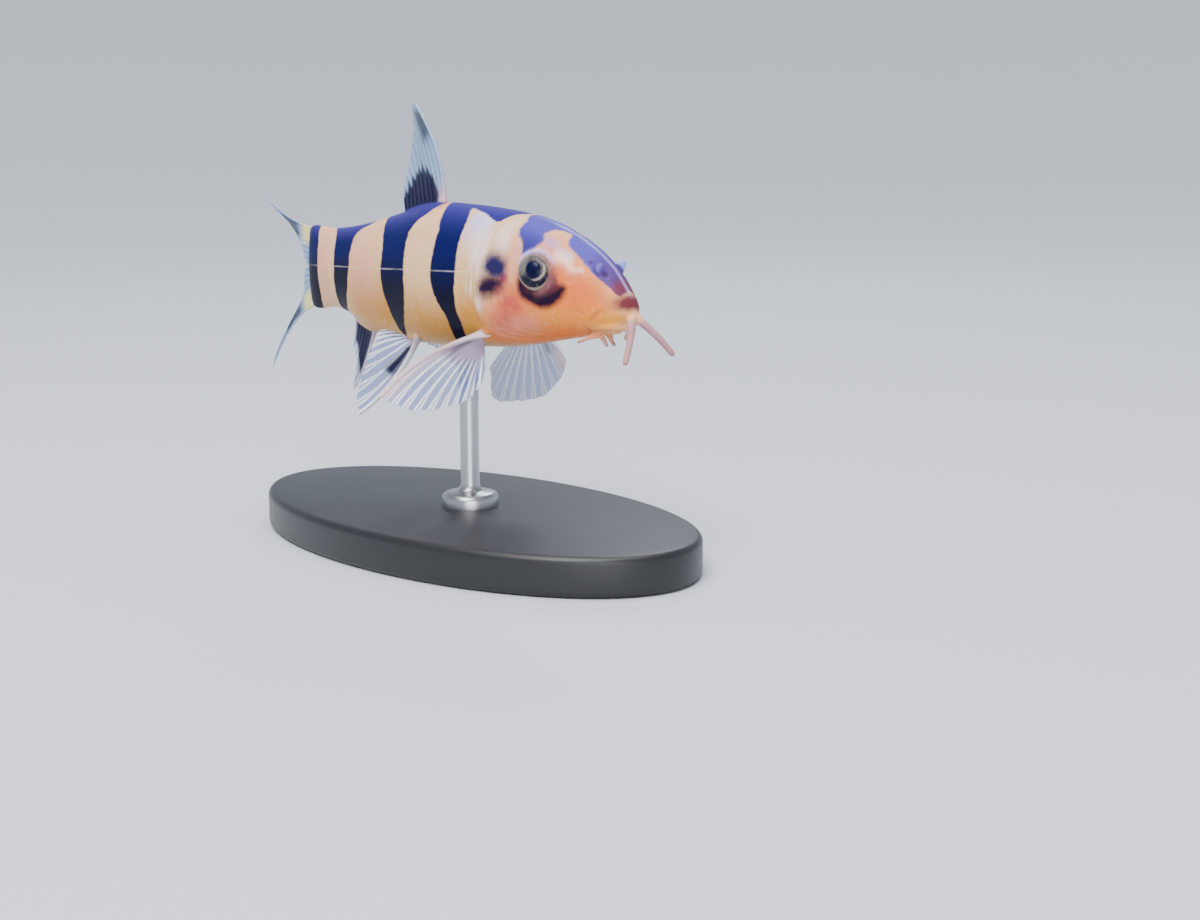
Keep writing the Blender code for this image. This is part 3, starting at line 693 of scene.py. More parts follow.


# Soft patches of colour over the skin, those in the colour light being painted highlights on the
# head: colour, station, degrees down from the back, how far it spreads in mm along the fish and
# in degrees round it, and its strength
TINTS = (
    ("gold", 23.0, 128, 9.0, 34, 0.95),
    ("gold", 36.5, 122, 6.5, 36, 0.95),
    ("gold", 18.6, 112, 1.8, 30, 0.95),
    ("rosy", 32.0, 12, 9.0, 20, 0.35),
    ("rosy", 39.0, 80, 3.5, 40, 0.6),
    ("rosy", 43.5, 40, 3.5, 40, 0.4),
    ("rosy", 48.6, 90, 1.6, 90, 0.65),
    ("frost", 19.0, 34, 1.9, 18, 0.95),
    ("pale", 17.6, 60, 1.3, 16, 0.6),
    ("peach", 6.0, 90, 5.8, 70, 1.0),
    ("peach", 9.0, 150, 5.0, 45, 0.95),
    ("peach", 12.6, 110, 3.2, 34, 0.95),
    ("peach", 14.6, 138, 3.0, 28, 0.9),
    ("rosy", 13.0, 62, 1.2, 18, 0.85),
    ("rosy", 13.0, 126, 3.5, 20, 0.5),
    ("peach", 15.3, 55, 0.9, 7, 0.4),
    ("straw", 18.5, 84, 0.9, 10, 0.6),
    ("pale", 14.8, 50, 1.0, 12, 0.5),
    ("blush", 12.9, 101, 1.5, 15, 0.8),
    ("blush", 14.6, 120, 1.2, 14, 0.55),
    ("crimson", 13.7, 81, 0.55, 5, 0.95),
    ("crimson", 14.3, 87, 0.6, 4, 0.5),
    ("pale", 17.0, 99, 0.5, 7, 0.5),
    ("salmon", 7.0, 66, 1.3, 11, 0.6),
    ("lilac", 9.0, 38, 1.0, 8, 0.8),
    ("frost", 7.1, 44, 1.0, 6, 0.6),
    # painted highlights on the brow and the cheek ahead of the eye
    ("light", 7.1, 51, 1.1, 7, 0.8),
    ("light", 5.9, 58, 0.6, 5, 0.6),
    ("light", 5.0, 54, 0.35, 4, 0.6),
    ("salmon", 4.4, 74, 1.2, 11, 0.5),
    ("mouth_yellow", 2.2, 122, 2.0, 24, 1.0),
    ("salmon", 3.2, 109, 0.3, 6, 0.5),
    ("brown", 1.35, 38, 0.4, 12, 0.75),
    ("blush", 3.5, 119, 0.5, 5, 0.35),
    ("mouth_yellow", 7.0, 118, 3.0, 18, 0.5),
    ("blush", 27.2, 7, 0.55, 13, 0.85),
)


def ground_colour(s, angle, colours):
    """The skin's colour under its marks, as cream with one soft patch laid over another."""
    ground = np.tile(np.array(colours.cream), (len(s), 1))
    for name, station, degrees, along, around, strength in TINTS:
        share = strength * np.exp(-(((s - station) / along) ** 4) - (((angle - degrees) / around) ** 2))
        ground = toned(ground, share, getattr(colours, name))
    return ground


def paint_skin(obj, fold_highlight, shades, shaded_crease, colours):
    """Stores the skin's tints, and where its marks and its lateral line lie, for its material."""
    places = straightened(coordinates(obj))
    angle, over = round_body(places)
    s, y, z = places.T
    wide = np.abs(y)
    # the unseen left side has the same marks, a little moved
    sway = 0.3 * np.sin(0.75 * s + 1.2) + 0.2 * np.sin(0.045 * angle)
    marked = s + np.where(y > 0, sway, 0) * smooth(0.5, 2.5, wide)
    ground = ground_colour(s, angle, colours)
    # painted shade under the eye, down to the crescent
    under_eye = mark_depth(s, angle, UNDER_EYE, HEAD_DEGREE)
    ground = toned(ground, 0.95 * smooth(-0.7, 0.35, under_eye), colours.dusk)

    # painted sheen and shade on the bands: violet on the back, where light from above falls, navy on the
    # flank and darker navy low down
    navy = toned(np.tile(colours.violet, (len(s), 1)), smooth(8, 55, angle), colours.navy)
    navy = toned(navy, smooth(60, 100, angle), colours.navy_shade)
    stripe = toned(np.tile(colours.stripe_dusk, (len(s), 1)), smooth(2, 6, s), colours.crown_violet)
    stripe = toned(stripe, smooth(25, 55, angle) * smooth(9, 11, s), colours.violet)
    stripe = toned(stripe, 0.85 * (1 - smooth(1.4, 2.3, s)), colours.brown)
    crown = mark_depth(marked, angle, CROWN_STRIPE, HEAD_DEGREE)
    crescent = mark_depth(marked, angle, CHEEK_CRESCENT, HEAD_DEGREE)
    upper_spot, lower_spot = (mark_depth(marked, angle, spot, HEAD_DEGREE) for spot in GILL_SPOTS)
    # the snout's brown patch lies across its blunt front, where stations and angles run together
    patch = np.where(s < 2.4, 0.62 - np.hypot(0.75 * np.maximum(wide - 0.55, 0), z + 1.25 + 0.15 * wide), -9)
    # each mark's depth in mm, the depths where its soft edge starts and ends, and its tint
    marks = (
        (band_depth(marked, angle), -0.2, 0.12, navy),
        (crown, -0.25, 0.2, stripe),
        (crescent, -0.6, 0.3, colours.maroon),
        (upper_spot, -0.85, 0.4, colours.spot_blue),
        (lower_spot, -0.75, 0.4, colours.spot),
        (patch, -0.5, 0.3, colours.brown),
    )
    tint, best = ground, np.full(len(s), -99.0)
    edges = np.tile((-9.0, 0.0, 1.0), (len(s), 1))
    for depth, start, end, colour in marks:
        share = (depth - start) / (end - start)
        here = (share > best)[:, None]
        tint = np.where(here, np.array(colour), tint)
        edges = np.where(here, np.stack([depth, 0 * s + start, 0 * s + end], -1), edges)
        best = np.maximum(best, share)

    # a painted highlight along the mid-line ridge of the snout
    ridge = np.exp(-((y / 0.17) ** 2)) * smooth(0.3, 0.9, s) * (1 - smooth(5.5, 8.5, s)) * (z > -1.2)
    feeler = smooth(0.25, 1.5, over) * (1 - smooth(7.5, 8.5, s)) * (z < -1.9)
    flap = smooth(0.12, 0.4, over) * (z > -1.0) * (1 - smooth(5, 6, s)) * (0.6 + 0.4 * np.sign(y))
    layers = (
        # painted highlight along the snout's ridge
        (0.5 * ridge, colours.lilac_highlight),
        (feeler, colours.feeler),
        (flap, colours.flap),
        # painted highlight on top of each eye fold
        (0.75 * fold_highlight, colours.lilac_highlight),
        # painted shade ahead of each eye
        (0.75 * shades, colours.socket),
        # painted shade in the mouth's slit and the nostril pits
        (0.7 * shaded_crease, colours.shaded_crease),
    )
    for share, colour in layers:
        ground, tint = toned(ground, share, colour), toned(tint, share, colour)
    line = np.abs(z - (0.75 - 0.02 * (s - 30))) + 3 * (1 - smooth(17.5, 18.5, s))
    nape = smooth(13, 15.5, s) * (1 - smooth(18.5, 20.5, s)) * (1 - smooth(70, 118, angle))
    store(obj, "place", np.stack([s, angle, z], -1))
    store(obj, "ground", ground)
    store(obj, "mark_tint", tint)
    store(obj, "mark_edges", edges)
    store(obj, "line", line)
    store(obj, "nape", 0.75 * nape)


def make_skin(sizes, colours):
    form = join([body_form(), *lips(), *feelers(), *nostril_flaps(), *fin_roots()])
    form.name = form.data.name = "loach_skin"
    apply_modifier(form, "One skin", "REMESH", mode="VOXEL", voxel_size=sizes.skin_detail, adaptivity=0)
    apply_modifier(form, "Relax", "SMOOTH", factor=0.5, iterations=4)
    fold_highlight, shades = shape_eye_sockets(form)
    shaded_crease = press_creases(form)
    press_grooves(form)
    paint_skin(form, fold_highlight, shades, shaded_crease, colours)
    return form


# Materials

def plug(tree, node, inputs):
    """Links a node's sockets to others, or sets their values."""
    for socket, value in inputs.items():
        if isinstance(value, bpy.types.NodeSocket):
            tree.links.new(value, node.inputs[socket])
        else:
            node.inputs[socket].default_value = value


def add_node(tree, kind, inputs=None, **settings):
    """Adds a node with its settings, links and values, and returns its outputs."""
    made = tree.nodes.new(kind)
    for setting, value in settings.items():
        setattr(made, setting, value)
    plug(tree, made, inputs or {})
    return made.outputs


def new_material(name):
    made = bpy.data.materials.new(name)
    made.use_nodes = True
    return made, made.node_tree, made.node_tree.nodes["Principled BSDF"]


def laid_over(tree, colour, *layers):
    """The colour under one tint after another, each by its own share."""
    for share, tint in layers:
        tint = tint if isinstance(tint, bpy.types.NodeSocket) else (*tint, 1)
        colour = add_node(tree, "ShaderNodeMix", {0: share, 6: colour, 7: tint}, data_type="RGBA")[2]
    return colour


def skin_material(colours):
    """Living fish skin: soft, moist and slightly translucent, with a thin coat of slime.

    Its tiny scales barely show, as a faint grain in the highlights.
    """
    made, tree, shader = new_material("moist_fish_skin")
    place = add_node(tree, "ShaderNodeTexCoord")["Object"]
    straight = add_node(tree, "ShaderNodeAttribute", attribute_name="place")["Vector"]
    ground = add_node(tree, "ShaderNodeAttribute", attribute_name="ground")["Color"]
    mark_tint = add_node(tree, "ShaderNodeAttribute", attribute_name="mark_tint")["Color"]
    edges = add_node(tree, "ShaderNodeAttribute", attribute_name="mark_edges")["Vector"]
    depth, start, end = add_node(tree, "ShaderNodeSeparateXYZ", {0: edges})
    line = add_node(tree, "ShaderNodeAttribute", attribute_name="line")["Fac"]
    nape = add_node(tree, "ShaderNodeAttribute", attribute_name="nape")["Fac"]

    # patches of a few millimetres, and specks of a few tenths
    mottle = add_node(tree, "ShaderNodeTexNoise", {"Vector": place, "Scale": 420.0, "Detail": 5.0})[0]
    ragged = add_node(tree, "ShaderNodeTexNoise", {"Vector": place, "Scale": 1500.0, "Detail": 4.0})[0]
    patches = add_node(
        tree,
        "ShaderNodeMapRange",
        {"Value": mottle, "From Min": 0.5, "From Max": 0.8, "To Max": 0.3},
        interpolation_type="SMOOTHSTEP",
    )[0]
    specks = add_node(
        tree,
        "ShaderNodeMapRange",
        {"Value": ragged, "From Min": 0.5, "From Max": 0.75, "To Max": 0.1},
        interpolation_type="SMOOTHSTEP",
    )[0]
    # whitish streaks run down the skin behind the gill cover
    drawn = add_node(tree, "ShaderNodeMapping", {"Vector": straight, "Scale": (4.5, 0.05, 0.0)})[0]
    streaks = add_node(tree, "ShaderNodeTexNoise", {"Vector": drawn, "Scale": 1.0, "Detail": 3.0})[0]
    streaks = add_node(
        tree,
        "ShaderNodeMapRange",
        {"Value": streaks, "From Min": 0.48, "From Max": 0.7, "To Max": nape},
        interpolation_type="SMOOTHSTEP",
    )[0]
    # the marks' soft edges wander by up to a fifth of a millimetre
    wander = add_node(tree, "ShaderNodeMapRange", {"Value": ragged, "To Min": -0.22, "To Max": 0.22})[0]
    depth = add_node(tree, "ShaderNodeMath", {0: depth, 1: wander}, operation="ADD")[0]
    marks = add_node(
        tree,
        "ShaderNodeMapRange",
        {"Value": depth, "From Min": start, "From Max": end},
        interpolation_type="SMOOTHSTEP",
    )[0]
    # the lateral line is a fine pale thread, here and there broken
    strength = add_node(
        tree, "ShaderNodeMapRange", {"Value": mottle, "From Min": 0.3, "From Max": 0.6, "To Max": 0.4}
    )[0]
    thread = add_node(
        tree,
        "ShaderNodeMapRange",
        {"Value": line, "From Min": 0.12, "From Max": 0.02, "To Max": strength},
        interpolation_type="SMOOTHSTEP",
    )[0]
    colour = laid_over(
        tree,
        ground,
        (patches, colours.gold),
        (specks, colours.light),
        (streaks, colours.pale),
        (marks, mark_tint),
        (thread, colours.pale),
    )

    # scales 0.35 mm apart along the fish and round it, each a low cell
    spread = add_node(tree, "ShaderNodeMapping", {"Vector": straight, "Scale": (2.8, 0.34, 0.0)})[0]
    cells = add_node(tree, "ShaderNodeTexVoronoi", {"Vector": spread, "Scale": 1.0}, feature="F1")[0]
    pores = add_node(tree, "ShaderNodeTexNoise", {"Vector": place, "Scale": 4200.0, "Detail": 2.0})[0]
    grain = add_node(tree, "ShaderNodeMath", {0: cells, 1: 0.6, 2: pores}, operation="MULTIPLY_ADD")[0]
    relief = add_node(tree, "ShaderNodeBump", {"Strength": 0.16, "Distance": 0.00008, "Height": grain})[0]
    rough = add_node(
        tree,
        "ShaderNodeMapRange",
        {"Value": mottle, "From Min": 0.2, "From Max": 0.8, "To Min": 0.34, "To Max": 0.5},
    )[0]
    plug(tree, shader, {
        "Base Color": colour,
        "Roughness": rough,
        "Normal": relief,
        "IOR": 1.4,
        "Specular IOR Level": 0.05,
        "Subsurface Weight": 0.22,
        "Subsurface Radius": (1.0, 0.45, 0.3),
        "Subsurface Scale": 0.0004,
        "Coat Weight": 0.11,
        "Coat Roughness": 0.16,
        "Coat IOR": 1.36,
    })
    return made


# Eyes

def iris_colour(ahead, down, ring, pupil, colours):
    """The eye's colours: a grey iris, dark below, a bright arc, the pupil, and a pale rim painted fainter at
    the top as shade under the fold.
    """
    tint = np.tile(colours.iris_grey, (len(ring), 1))
    tint = toned(tint, smooth(0.2, 0.9, -ahead) * (1 - smooth(0.0, 0.7, down)), colours.iris_light)
    tint = toned(tint, smooth(-0.1, 0.7, down + 0.3 * ahead), colours.iris_dark)
    from_pupil = np.hypot(ahead - PUPIL_AHEAD, down + PUPIL_UP)
    arc = np.exp(-(((from_pupil - 1.02) / 0.1) ** 2)) * smooth(0.15, 0.75, 0.85 * ahead + 0.4 * down)
    tint = toned(tint, arc * (1 - smooth(0.55, 1.0, down - 0.5 * ahead)), colours.iris_arc)
    # the pale rim is painted fainter towards the top, as painted shade under the fold
    rim = smooth(1.46, 1.56, ring) * (0.45 + 0.55 * smooth(-1.3, 0.2, down))
    tint = toned(tint, rim, colours.eye_rim)
    return toned(tint, 1 - smooth(0.95, 1.1, pupil), colours.pupil)


def make_eye(side, sizes, colours):
    """One eyeball: a flattened ball with a slightly raised pupil, which looks a little forward."""
    name = "eye_" + ("left" if side > 0 else "right")
    eye = new_ball(name + "_ball", 160, 120)
    middle, out, back, round_it = eye_middle(side)
    out, back = (
        out * math.cos(EYE_TURN) - back * math.sin(EYE_TURN),
        back * math.cos(EYE_TURN) + out * math.sin(EYE_TURN),
    )
    x, y, z = coordinates(eye).T
    radius = sizes.eye_radius / MM
    ahead, down = -x * radius, side * y * radius
    # the pupil sits a little ahead of the middle and above it, with its tip drawn down
    tall = 0.78 + 0.1 * smooth(0, 0.8, down + PUPIL_UP)
    pupil = np.hypot((ahead - PUPIL_AHEAD) / 0.69, (down + PUPIL_UP) / tall)
    lens = 0.07 * (1 - smooth(0.75, 1.1, pupil)) * (z > 0)
    places = np.outer(x * radius * EYE_LENGTHENING, back) + np.outer(y * radius, round_it)
    set_coordinates(eye, middle + MM * (places + np.outer(z * EYE_HALF_DEPTH + lens, out)))
    face_outward(eye)
    front = z > 0
    ring = np.where(front, np.hypot(x, y) * radius, radius)
    store(eye, "iris", iris_colour(ahead, down, ring, np.where(front, pupil, 3), colours))
    store(eye, "flecked", 0.3 * smooth(1.0, 1.3, np.where(front, pupil, 3)))
    return eye


def eye_material(colours):
    """A fish's living eye: dark lens and satiny iris under a clear, wet cornea."""
    made, tree, shader = new_material("wet_eye")
    place = add_node(tree, "ShaderNodeTexCoord")["Object"]
    iris = add_node(tree, "ShaderNodeAttribute", attribute_name="iris")["Color"]
    flecked = add_node(tree, "ShaderNodeAttribute", attribute_name="flecked")["Fac"]
    grain = add_node(tree, "ShaderNodeTexNoise", {"Vector": place, "Scale": 2600.0, "Detail": 4.0})[0]
    flecks = add_node(
        tree,
        "ShaderNodeMapRange",
        {"Value": grain, "From Min": 0.48, "From Max": 0.75, "To Max": flecked},
        interpolation_type="SMOOTHSTEP",
    )[0]
    relief = add_node(tree, "ShaderNodeBump", {"Strength": 0.2, "Distance": 0.00004, "Height": grain})[0]
    plug(tree, shader, {
        "Base Color": laid_over(tree, iris, (flecks, colours.iris_arc)),
        "Normal": relief,
        "Roughness": 0.35,
        "Specular IOR Level": 0.1,
        "Coat Weight": 0.2,
        "Coat Roughness": 0.05,
        "Coat IOR": 1.38,
    })
    return made


# Fins

def skin_spot(s, degrees, side=1):
    return tuple(skin_points(np.array(float(s)), np.array(side * math.radians(degrees))))


# For each fin: the roots, directions and curls of its leading and of its last ray, the lengths of
# the rays between them, and how many rays it has. Roots of paired fins are a station and degrees
# down from the back, and their rays are given as if on the right side.
MEDIAN_FINS = {
    "dorsal_fin": (
        ((27.9, 0, 7.6), (34.7, 0, 6.5)),
        ((0.03, 0, 1), (0.46, 0.26, 0.85)),
        ((0.4, 0, -0.04), (0.03, 0.08, 0)),
        ((0, 10.8), (0.2, 11.1), (0.4, 9.4), (0.7, 5.7), (1, 3.4)),
        11,
    ),
    "anal_fin": (
        ((40.6, 0, -6.5), (44.3, 0, -5.2)),
        ((0.45, 0, -0.89), (0.14, 0, -0.99)),
        ((0.1, 0, 0), (0.05, 0, 0)),
        ((0, 7.6), (0.15, 7.8), (0.4, 6.2), (0.7, 4.4), (1, 3.2)),
        7,
    ),
    "caudal_fin_upper": (
        ((52.2, 0, 4.5), (52.3, 0, 0.1)),
        ((0.98, 0, 0.08), (1, 0, 0.04)),
        ((-0.02, 0, 0.2), (0, 0, 0)),
        ((0, 13.0), (0.08, 11.6), (0.16, 9.0), (0.28, 6.2), (0.42, 4.3), (0.6, 3.1), (1, 2.4)),
        9,
    ),
    "caudal_fin_lower": (
        ((52.2, 0, -4.3), (52.3, 0, 0.0)),
        ((0.98, 0, -0.18), (1, 0, -0.04)),
        ((-0.08, 0, -0.46), (0, 0, 0)),
        ((0, 13.4), (0.08, 12.1), (0.16, 9.6), (0.28, 6.6), (0.42, 4.5), (0.6, 3.1), (1, 2.4)),
        9,
    ),
}
PAIRED_FINS = {
    "pectoral_right": (
        ((17.2, 132.5), (18.7, 146)),
        ((0.65, 0.73, -0.22), (-0.25, 0.1, -0.96)),
        ((-0.2, -0.14, -0.21), (0.05, 0.06, 0.08)),
        ((0, 14.6), (0.1, 13.6), (0.3, 10.9), (0.6, 7.3), (0.85, 5.2), (1, 3.3)),
        13,
    ),
    "pectoral_left": (
        ((16.8, 133), (20.2, 147.5)),
        ((0.15, 0.77, -0.62), (0.73, -0.16, -0.66)),
        ((-0.04, -0.18, 0.09), (-0.02, 0.17, 0.03)),
        ((0, 6.8), (0.15, 9.3), (0.4, 11.5), (0.7, 10.9), (0.9, 6.9), (1, 5.8)),
        13,
    ),
    "pelvic_right": (
        ((29.9, 149.5), (32.5, 156)),
        ((0.53, 0.01, -0.85), (0.9, 0.06, 0.43)),
        ((0.06, 0.19, 0.18), (0, 0, -0.37)),
        ((0, 13.2), (0.12, 12.0), (0.25, 10.2), (0.5, 7.0), (0.75, 5.7), (1, 5.1)),
        9,
    ),
    "pelvic_left": (
        ((29.9, 149.5), (32.5, 156)),
        ((0.5, 0.62, -0.6), (0.85, 0.5, -0.1)),
        ((0.06, 0.08, 0.1), (0, 0, -0.2)),
        ((0, 12.0), (0.12, 11.4), (0.25, 9.8), (0.5, 6.8), (0.75, 5.4), (1, 4.6)),
        9,
    ),
}


def paired_fin(kind, side_name):
    side = 1 if side_name == "left" else -1
    mirror = np.array((1, side, 1))
    roots, rays, curls, lengths, count = PAIRED_FINS[f"{kind}_{side_name}"]
    roots = tuple(skin_spot(s, degrees, side) for s, degrees in roots)
    rays = tuple(np.array(ray) * mirror for ray in rays)
    curls = tuple(np.array(curl) * mirror for curl in curls)
    return roots, rays, curls, lengths, count


def fin_points(spec, u, v):
    """Straight-fish points of a fin's middle sheet: u from its leading ray to its last, v out along them."""
    roots, directions, curls, lengths, _ = spec
    ends = [np.array(pair, float) for pair in (roots, [unit(np.array(d, float)) for d in directions], curls)]
    root, direction, curl = (pair[0] + np.outer(u, pair[1] - pair[0]) for pair in ends)
    direction = unit(direction)
    # a root starts a little under the skin, towards the body's long axis
    axis = np.stack([np.minimum(root[:, 0], 46), 0 * u, 0 * u - 0.4], -1)
    length = curve_through(lengths)(u)
    out = np.maximum(v, 0)
    sunk = unit(root - axis) * (np.minimum(v, 0) * 6.0)[:, None]
    return root + sunk + direction * (out * length)[:, None] + curl * (length * out * out)[:, None], length


def ray_pattern(u, v, count, spread, width):
    """How strongly a ray shows at each point: rays fork half way out, and again near the margin."""
    across = u * (count - 1)
    nearest = np.round(across)
    fork = np.where(nearest > 0, 0.17 * smooth(0.5, 1.0, v), 0)
    second = np.where(nearest > 0, 0.07 * smooth(0.75, 1.05, v), 0)
    half = np.minimum(width / np.maximum(spread, 0.05), 0.26)
    strength = np.zeros(u.shape)
    for whole in (-1, 1):
        for part in (-1, 1):
            centre = nearest + whole * fork + part * second
            size = half * (1.0 - 0.45 * smooth(0.3, 1, v))
            strength = np.maximum(strength, np.exp(-(((across - centre) / size) ** 2)))
    return strength


def fin_colour(rays, flesh, fold_edge, marks, milk, colours):
    """The fin's tint at each point, and how opaque it is there."""
    dark, warm, yellow = marks
    cloudy = float(smooth(0.4, 0.7, milk))
    ray = smooth(0.15, 0.85, rays)
    tint = np.tile(colours.membrane, (len(rays), 1))
    tint = toned(tint, 0 * rays + cloudy, colours.cloudy_membrane)
    tint = toned(tint, ray * (1 - 0.8 * cloudy), colours.ray)
    for share, colour in (
        (0.7 * flesh, colours.fin_flesh),
        (warm, colours.fin_pink),
        (yellow, colours.fin_yellow),
        (fold_edge, colours.ray),
        (dark, colours.fin_dark),
    ):
        tint = toned(tint, share, colour)
    covers = (0.9 * ray, 0.92 * flesh, 0.97 * dark, 0.85 * yellow, fold_edge, 0 * ray + milk)
    return tint, np.maximum.reduce(covers)


def make_fin(name, spec, sizes, colours, marks, solid, leading, fold, milk, seed):
    """A fin as one thin sheet with its rays raised on both faces.

    solid is how far out its flesh stays thick and opaque, leading how broad its first ray is,
    fold the height of a pleat near its last rays, and milk how cloudy the skin between rays is.
    """
    ray_width = 0.15
    count = spec[4]
    columns, rows = (count - 1) * 14, 84
    fin, u, v = new_grid(name, columns, rows)
    v = v * 1.1 - 0.1
    nudge = 1e-3
    here, length = fin_points(spec, u, v)
    after, _ = fin_points(spec, np.minimum(u + nudge, 1), v)
    before, _ = fin_points(spec, np.maximum(u - nudge, 0), v)
    steps = np.minimum(u + nudge, 1) - np.maximum(u - nudge, 0)
    spread = np.linalg.norm(after - before, axis=1) / steps / (count - 1)
    rays = ray_pattern(u, v, count, spread, ray_width)
    lead = np.exp(-((u * (count - 1) * np.maximum(spread, 0.1) / (0.2 * leading)) ** 4))
    rays = np.maximum(rays * (1 - 0.8 * (1 - smooth(0.4 * solid, solid, v))), lead)
    # between two rays the margin falls a little short, and no two rays are quite as long
    uneven = 0.01 * np.sin(17 * u + seed) + 0.005 * np.sin(41 * u + 2 * seed)
    reach = np.where(v > 0, v * (1 - smooth(0.6, 1, v) * (0.014 * (1 - rays) + uneven)), v)
    here, _ = fin_points(spec, u, reach)
    along, _ = fin_points(spec, u, reach + nudge)
    normal = unit(np.cross(along - here, after - before))
    ripple = 0.12 * np.sin(2 * math.pi * (1.4 * u + 0.5 * v) + seed) * smooth(0.05, 1, v)
    pleat = np.exp(-(((u - 0.74) / 0.04) ** 2)) - 0.7 * np.exp(-(((u - 0.85) / 0.05) ** 2))
    ripple += fold * pleat * smooth(0.25, 0.7, v)
    here = here + normal * ripple[:, None]
    set_coordinates(fin, posed(here))
    taper = 1 - 0.6 * smooth(0, 1, v)
    half = sizes.fin_membrane / MM * 0.5 + (0.06 * rays + 0.09 * lead * leading) * taper
    half = half + 0.5 * sizes.fin_root / MM * (1 - smooth(-0.05, 0.08 + 0.15 * solid, v))
    most = float(half.max())
    weights = fin.vertex_groups.new(name="thickness")
    for i, weight in enumerate(half / most):
        weights.add([i], float(weight), "REPLACE")
    out = np.maximum(v, 0) * length
    flesh = 1 - smooth(0.4 * solid, 1.25 * solid, v)
    fold_edge = np.exp(-(((u - 0.735) / 0.024) ** 2)) * smooth(0.3, 0.5, v) * (fold > 0)
    tint, cover = fin_colour(rays, flesh, fold_edge, marks(u, v, out), milk, colours)
    store(fin, "tint", tint)
    store(fin, "cover", cover)
    store(fin, "reach", out)
    apply_modifier(
        fin,
        "Thickness",
        "SOLIDIFY",
        thickness=2 * most * MM,
        offset=0,
        vertex_group="thickness",
        thickness_vertex_group=0.0,
    )
    fin.vertex_groups.clear()
    face_outward(fin)
    return fin


def dorsal_marks(u, v, out):
    """The navy patch that climbs from the back, and the dark streak inside the tip."""
    heights = ((0, 0.0), (0.12, 0.9), (0.25, 3.3), (0.45, 4.4), (0.7, 3.6), (0.9, 2.6), (1, 1.9))
    top = curve_through(heights)(u)
    ragged = 0.35 * np.sin(u * 10 * 2 * math.pi) + 0.2 * np.sin(u * 47)
    patch = smooth(-0.5, 0.4, top + ragged - out) * smooth(0.08, 0.2, u)
    tip = smooth(6.6, 8.2, out + 3 * u) * (1 - smooth(9.7, 10.6, out)) * smooth(0.02, 0.07, u)
    tip *= 1 - smooth(0.2, 0.36, u)
    warm = 0.85 * np.exp(-((out / 1.8) ** 2) - ((u / 0.14) ** 2))
    return np.maximum(patch, 0.85 * tip), warm, 0 * u


def anal_marks(u, v, out):
    """Navy over most of the fin, with a pale leading edge and margin."""
    inner = smooth(0.06, 0.16, u) * (1 - smooth(0.66, 0.86, v)) * (1 - smooth(0.88, 0.97, u))
    return inner, 0.4 * (1 - smooth(0.02, 0.1, u)), 0 * u


def caudal_marks(u, v, out):
    """Navy at the very root, then pale yellow, and a dusky streak half way out along the lobe."""
    streak = smooth(3.4, 4.8, out) * (1 - smooth(7.4, 9.4, out)) * smooth(0.01, 0.04, u)
    root = 1 - smooth(0.3, 0.9, out)
    yellow = (1 - smooth(2.4, 4.0, out)) * (1 - smooth(0.3, 0.6, u))
    return np.maximum(0.8 * streak, root), 0 * u, yellow


def pelvic_marks(u, v, out):
    """A dark streak behind the pale leading ray."""
    streak = smooth(0.9, 2.0, out) * (1 - smooth(5.6, 7.0, out)) * np.exp(-(((u - 0.18) / 0.1) ** 4))
    return streak, 0 * u, 0 * u


def pectoral_marks(u, v, out):
    """A pinkish leading ray, and a brownish streak under its root."""
    streak = 0.55 * smooth(1.2, 2.0, out) * (1 - smooth(3.6, 5.0, out)) * np.exp(-(((u - 0.16) / 0.07) ** 2))
    pink = smooth(2.5, 5.0, out) * (1 - smooth(0.04, 0.2, u))
    return streak, 0.8 * pink, 0 * u


# How each fin is made: where its marks lie, how far out it is solid, as a share of its rays, how
# broad its leading ray is, the height of its pleat in mm, and how cloudy its skin is
FIN_LOOKS = {
    "dorsal_fin": (dorsal_marks, 0.12, 0.7, 0.0, 0.8),
    "anal_fin": (anal_marks, 0.3, 0.8, 0.0, 0.5),
    "caudal_fin_upper": (caudal_marks, 0.2, 0.7, 0.0, 0.8),
    "caudal_fin_lower": (caudal_marks, 0.2, 0.7, 0.0, 0.8),
    "pectoral_fin_right": (pectoral_marks, 0.5, 2.4, 0.45, 0.4),
    "pectoral_fin_left": (pectoral_marks, 0.16, 1.5, 0.0, 0.45),
    "pelvic_fin_right": (pelvic_marks, 0.2, 2.0, 0.0, 0.42),
    "pelvic_fin_left": (pelvic_marks, 0.2, 2.0, 0.0, 0.42),
}


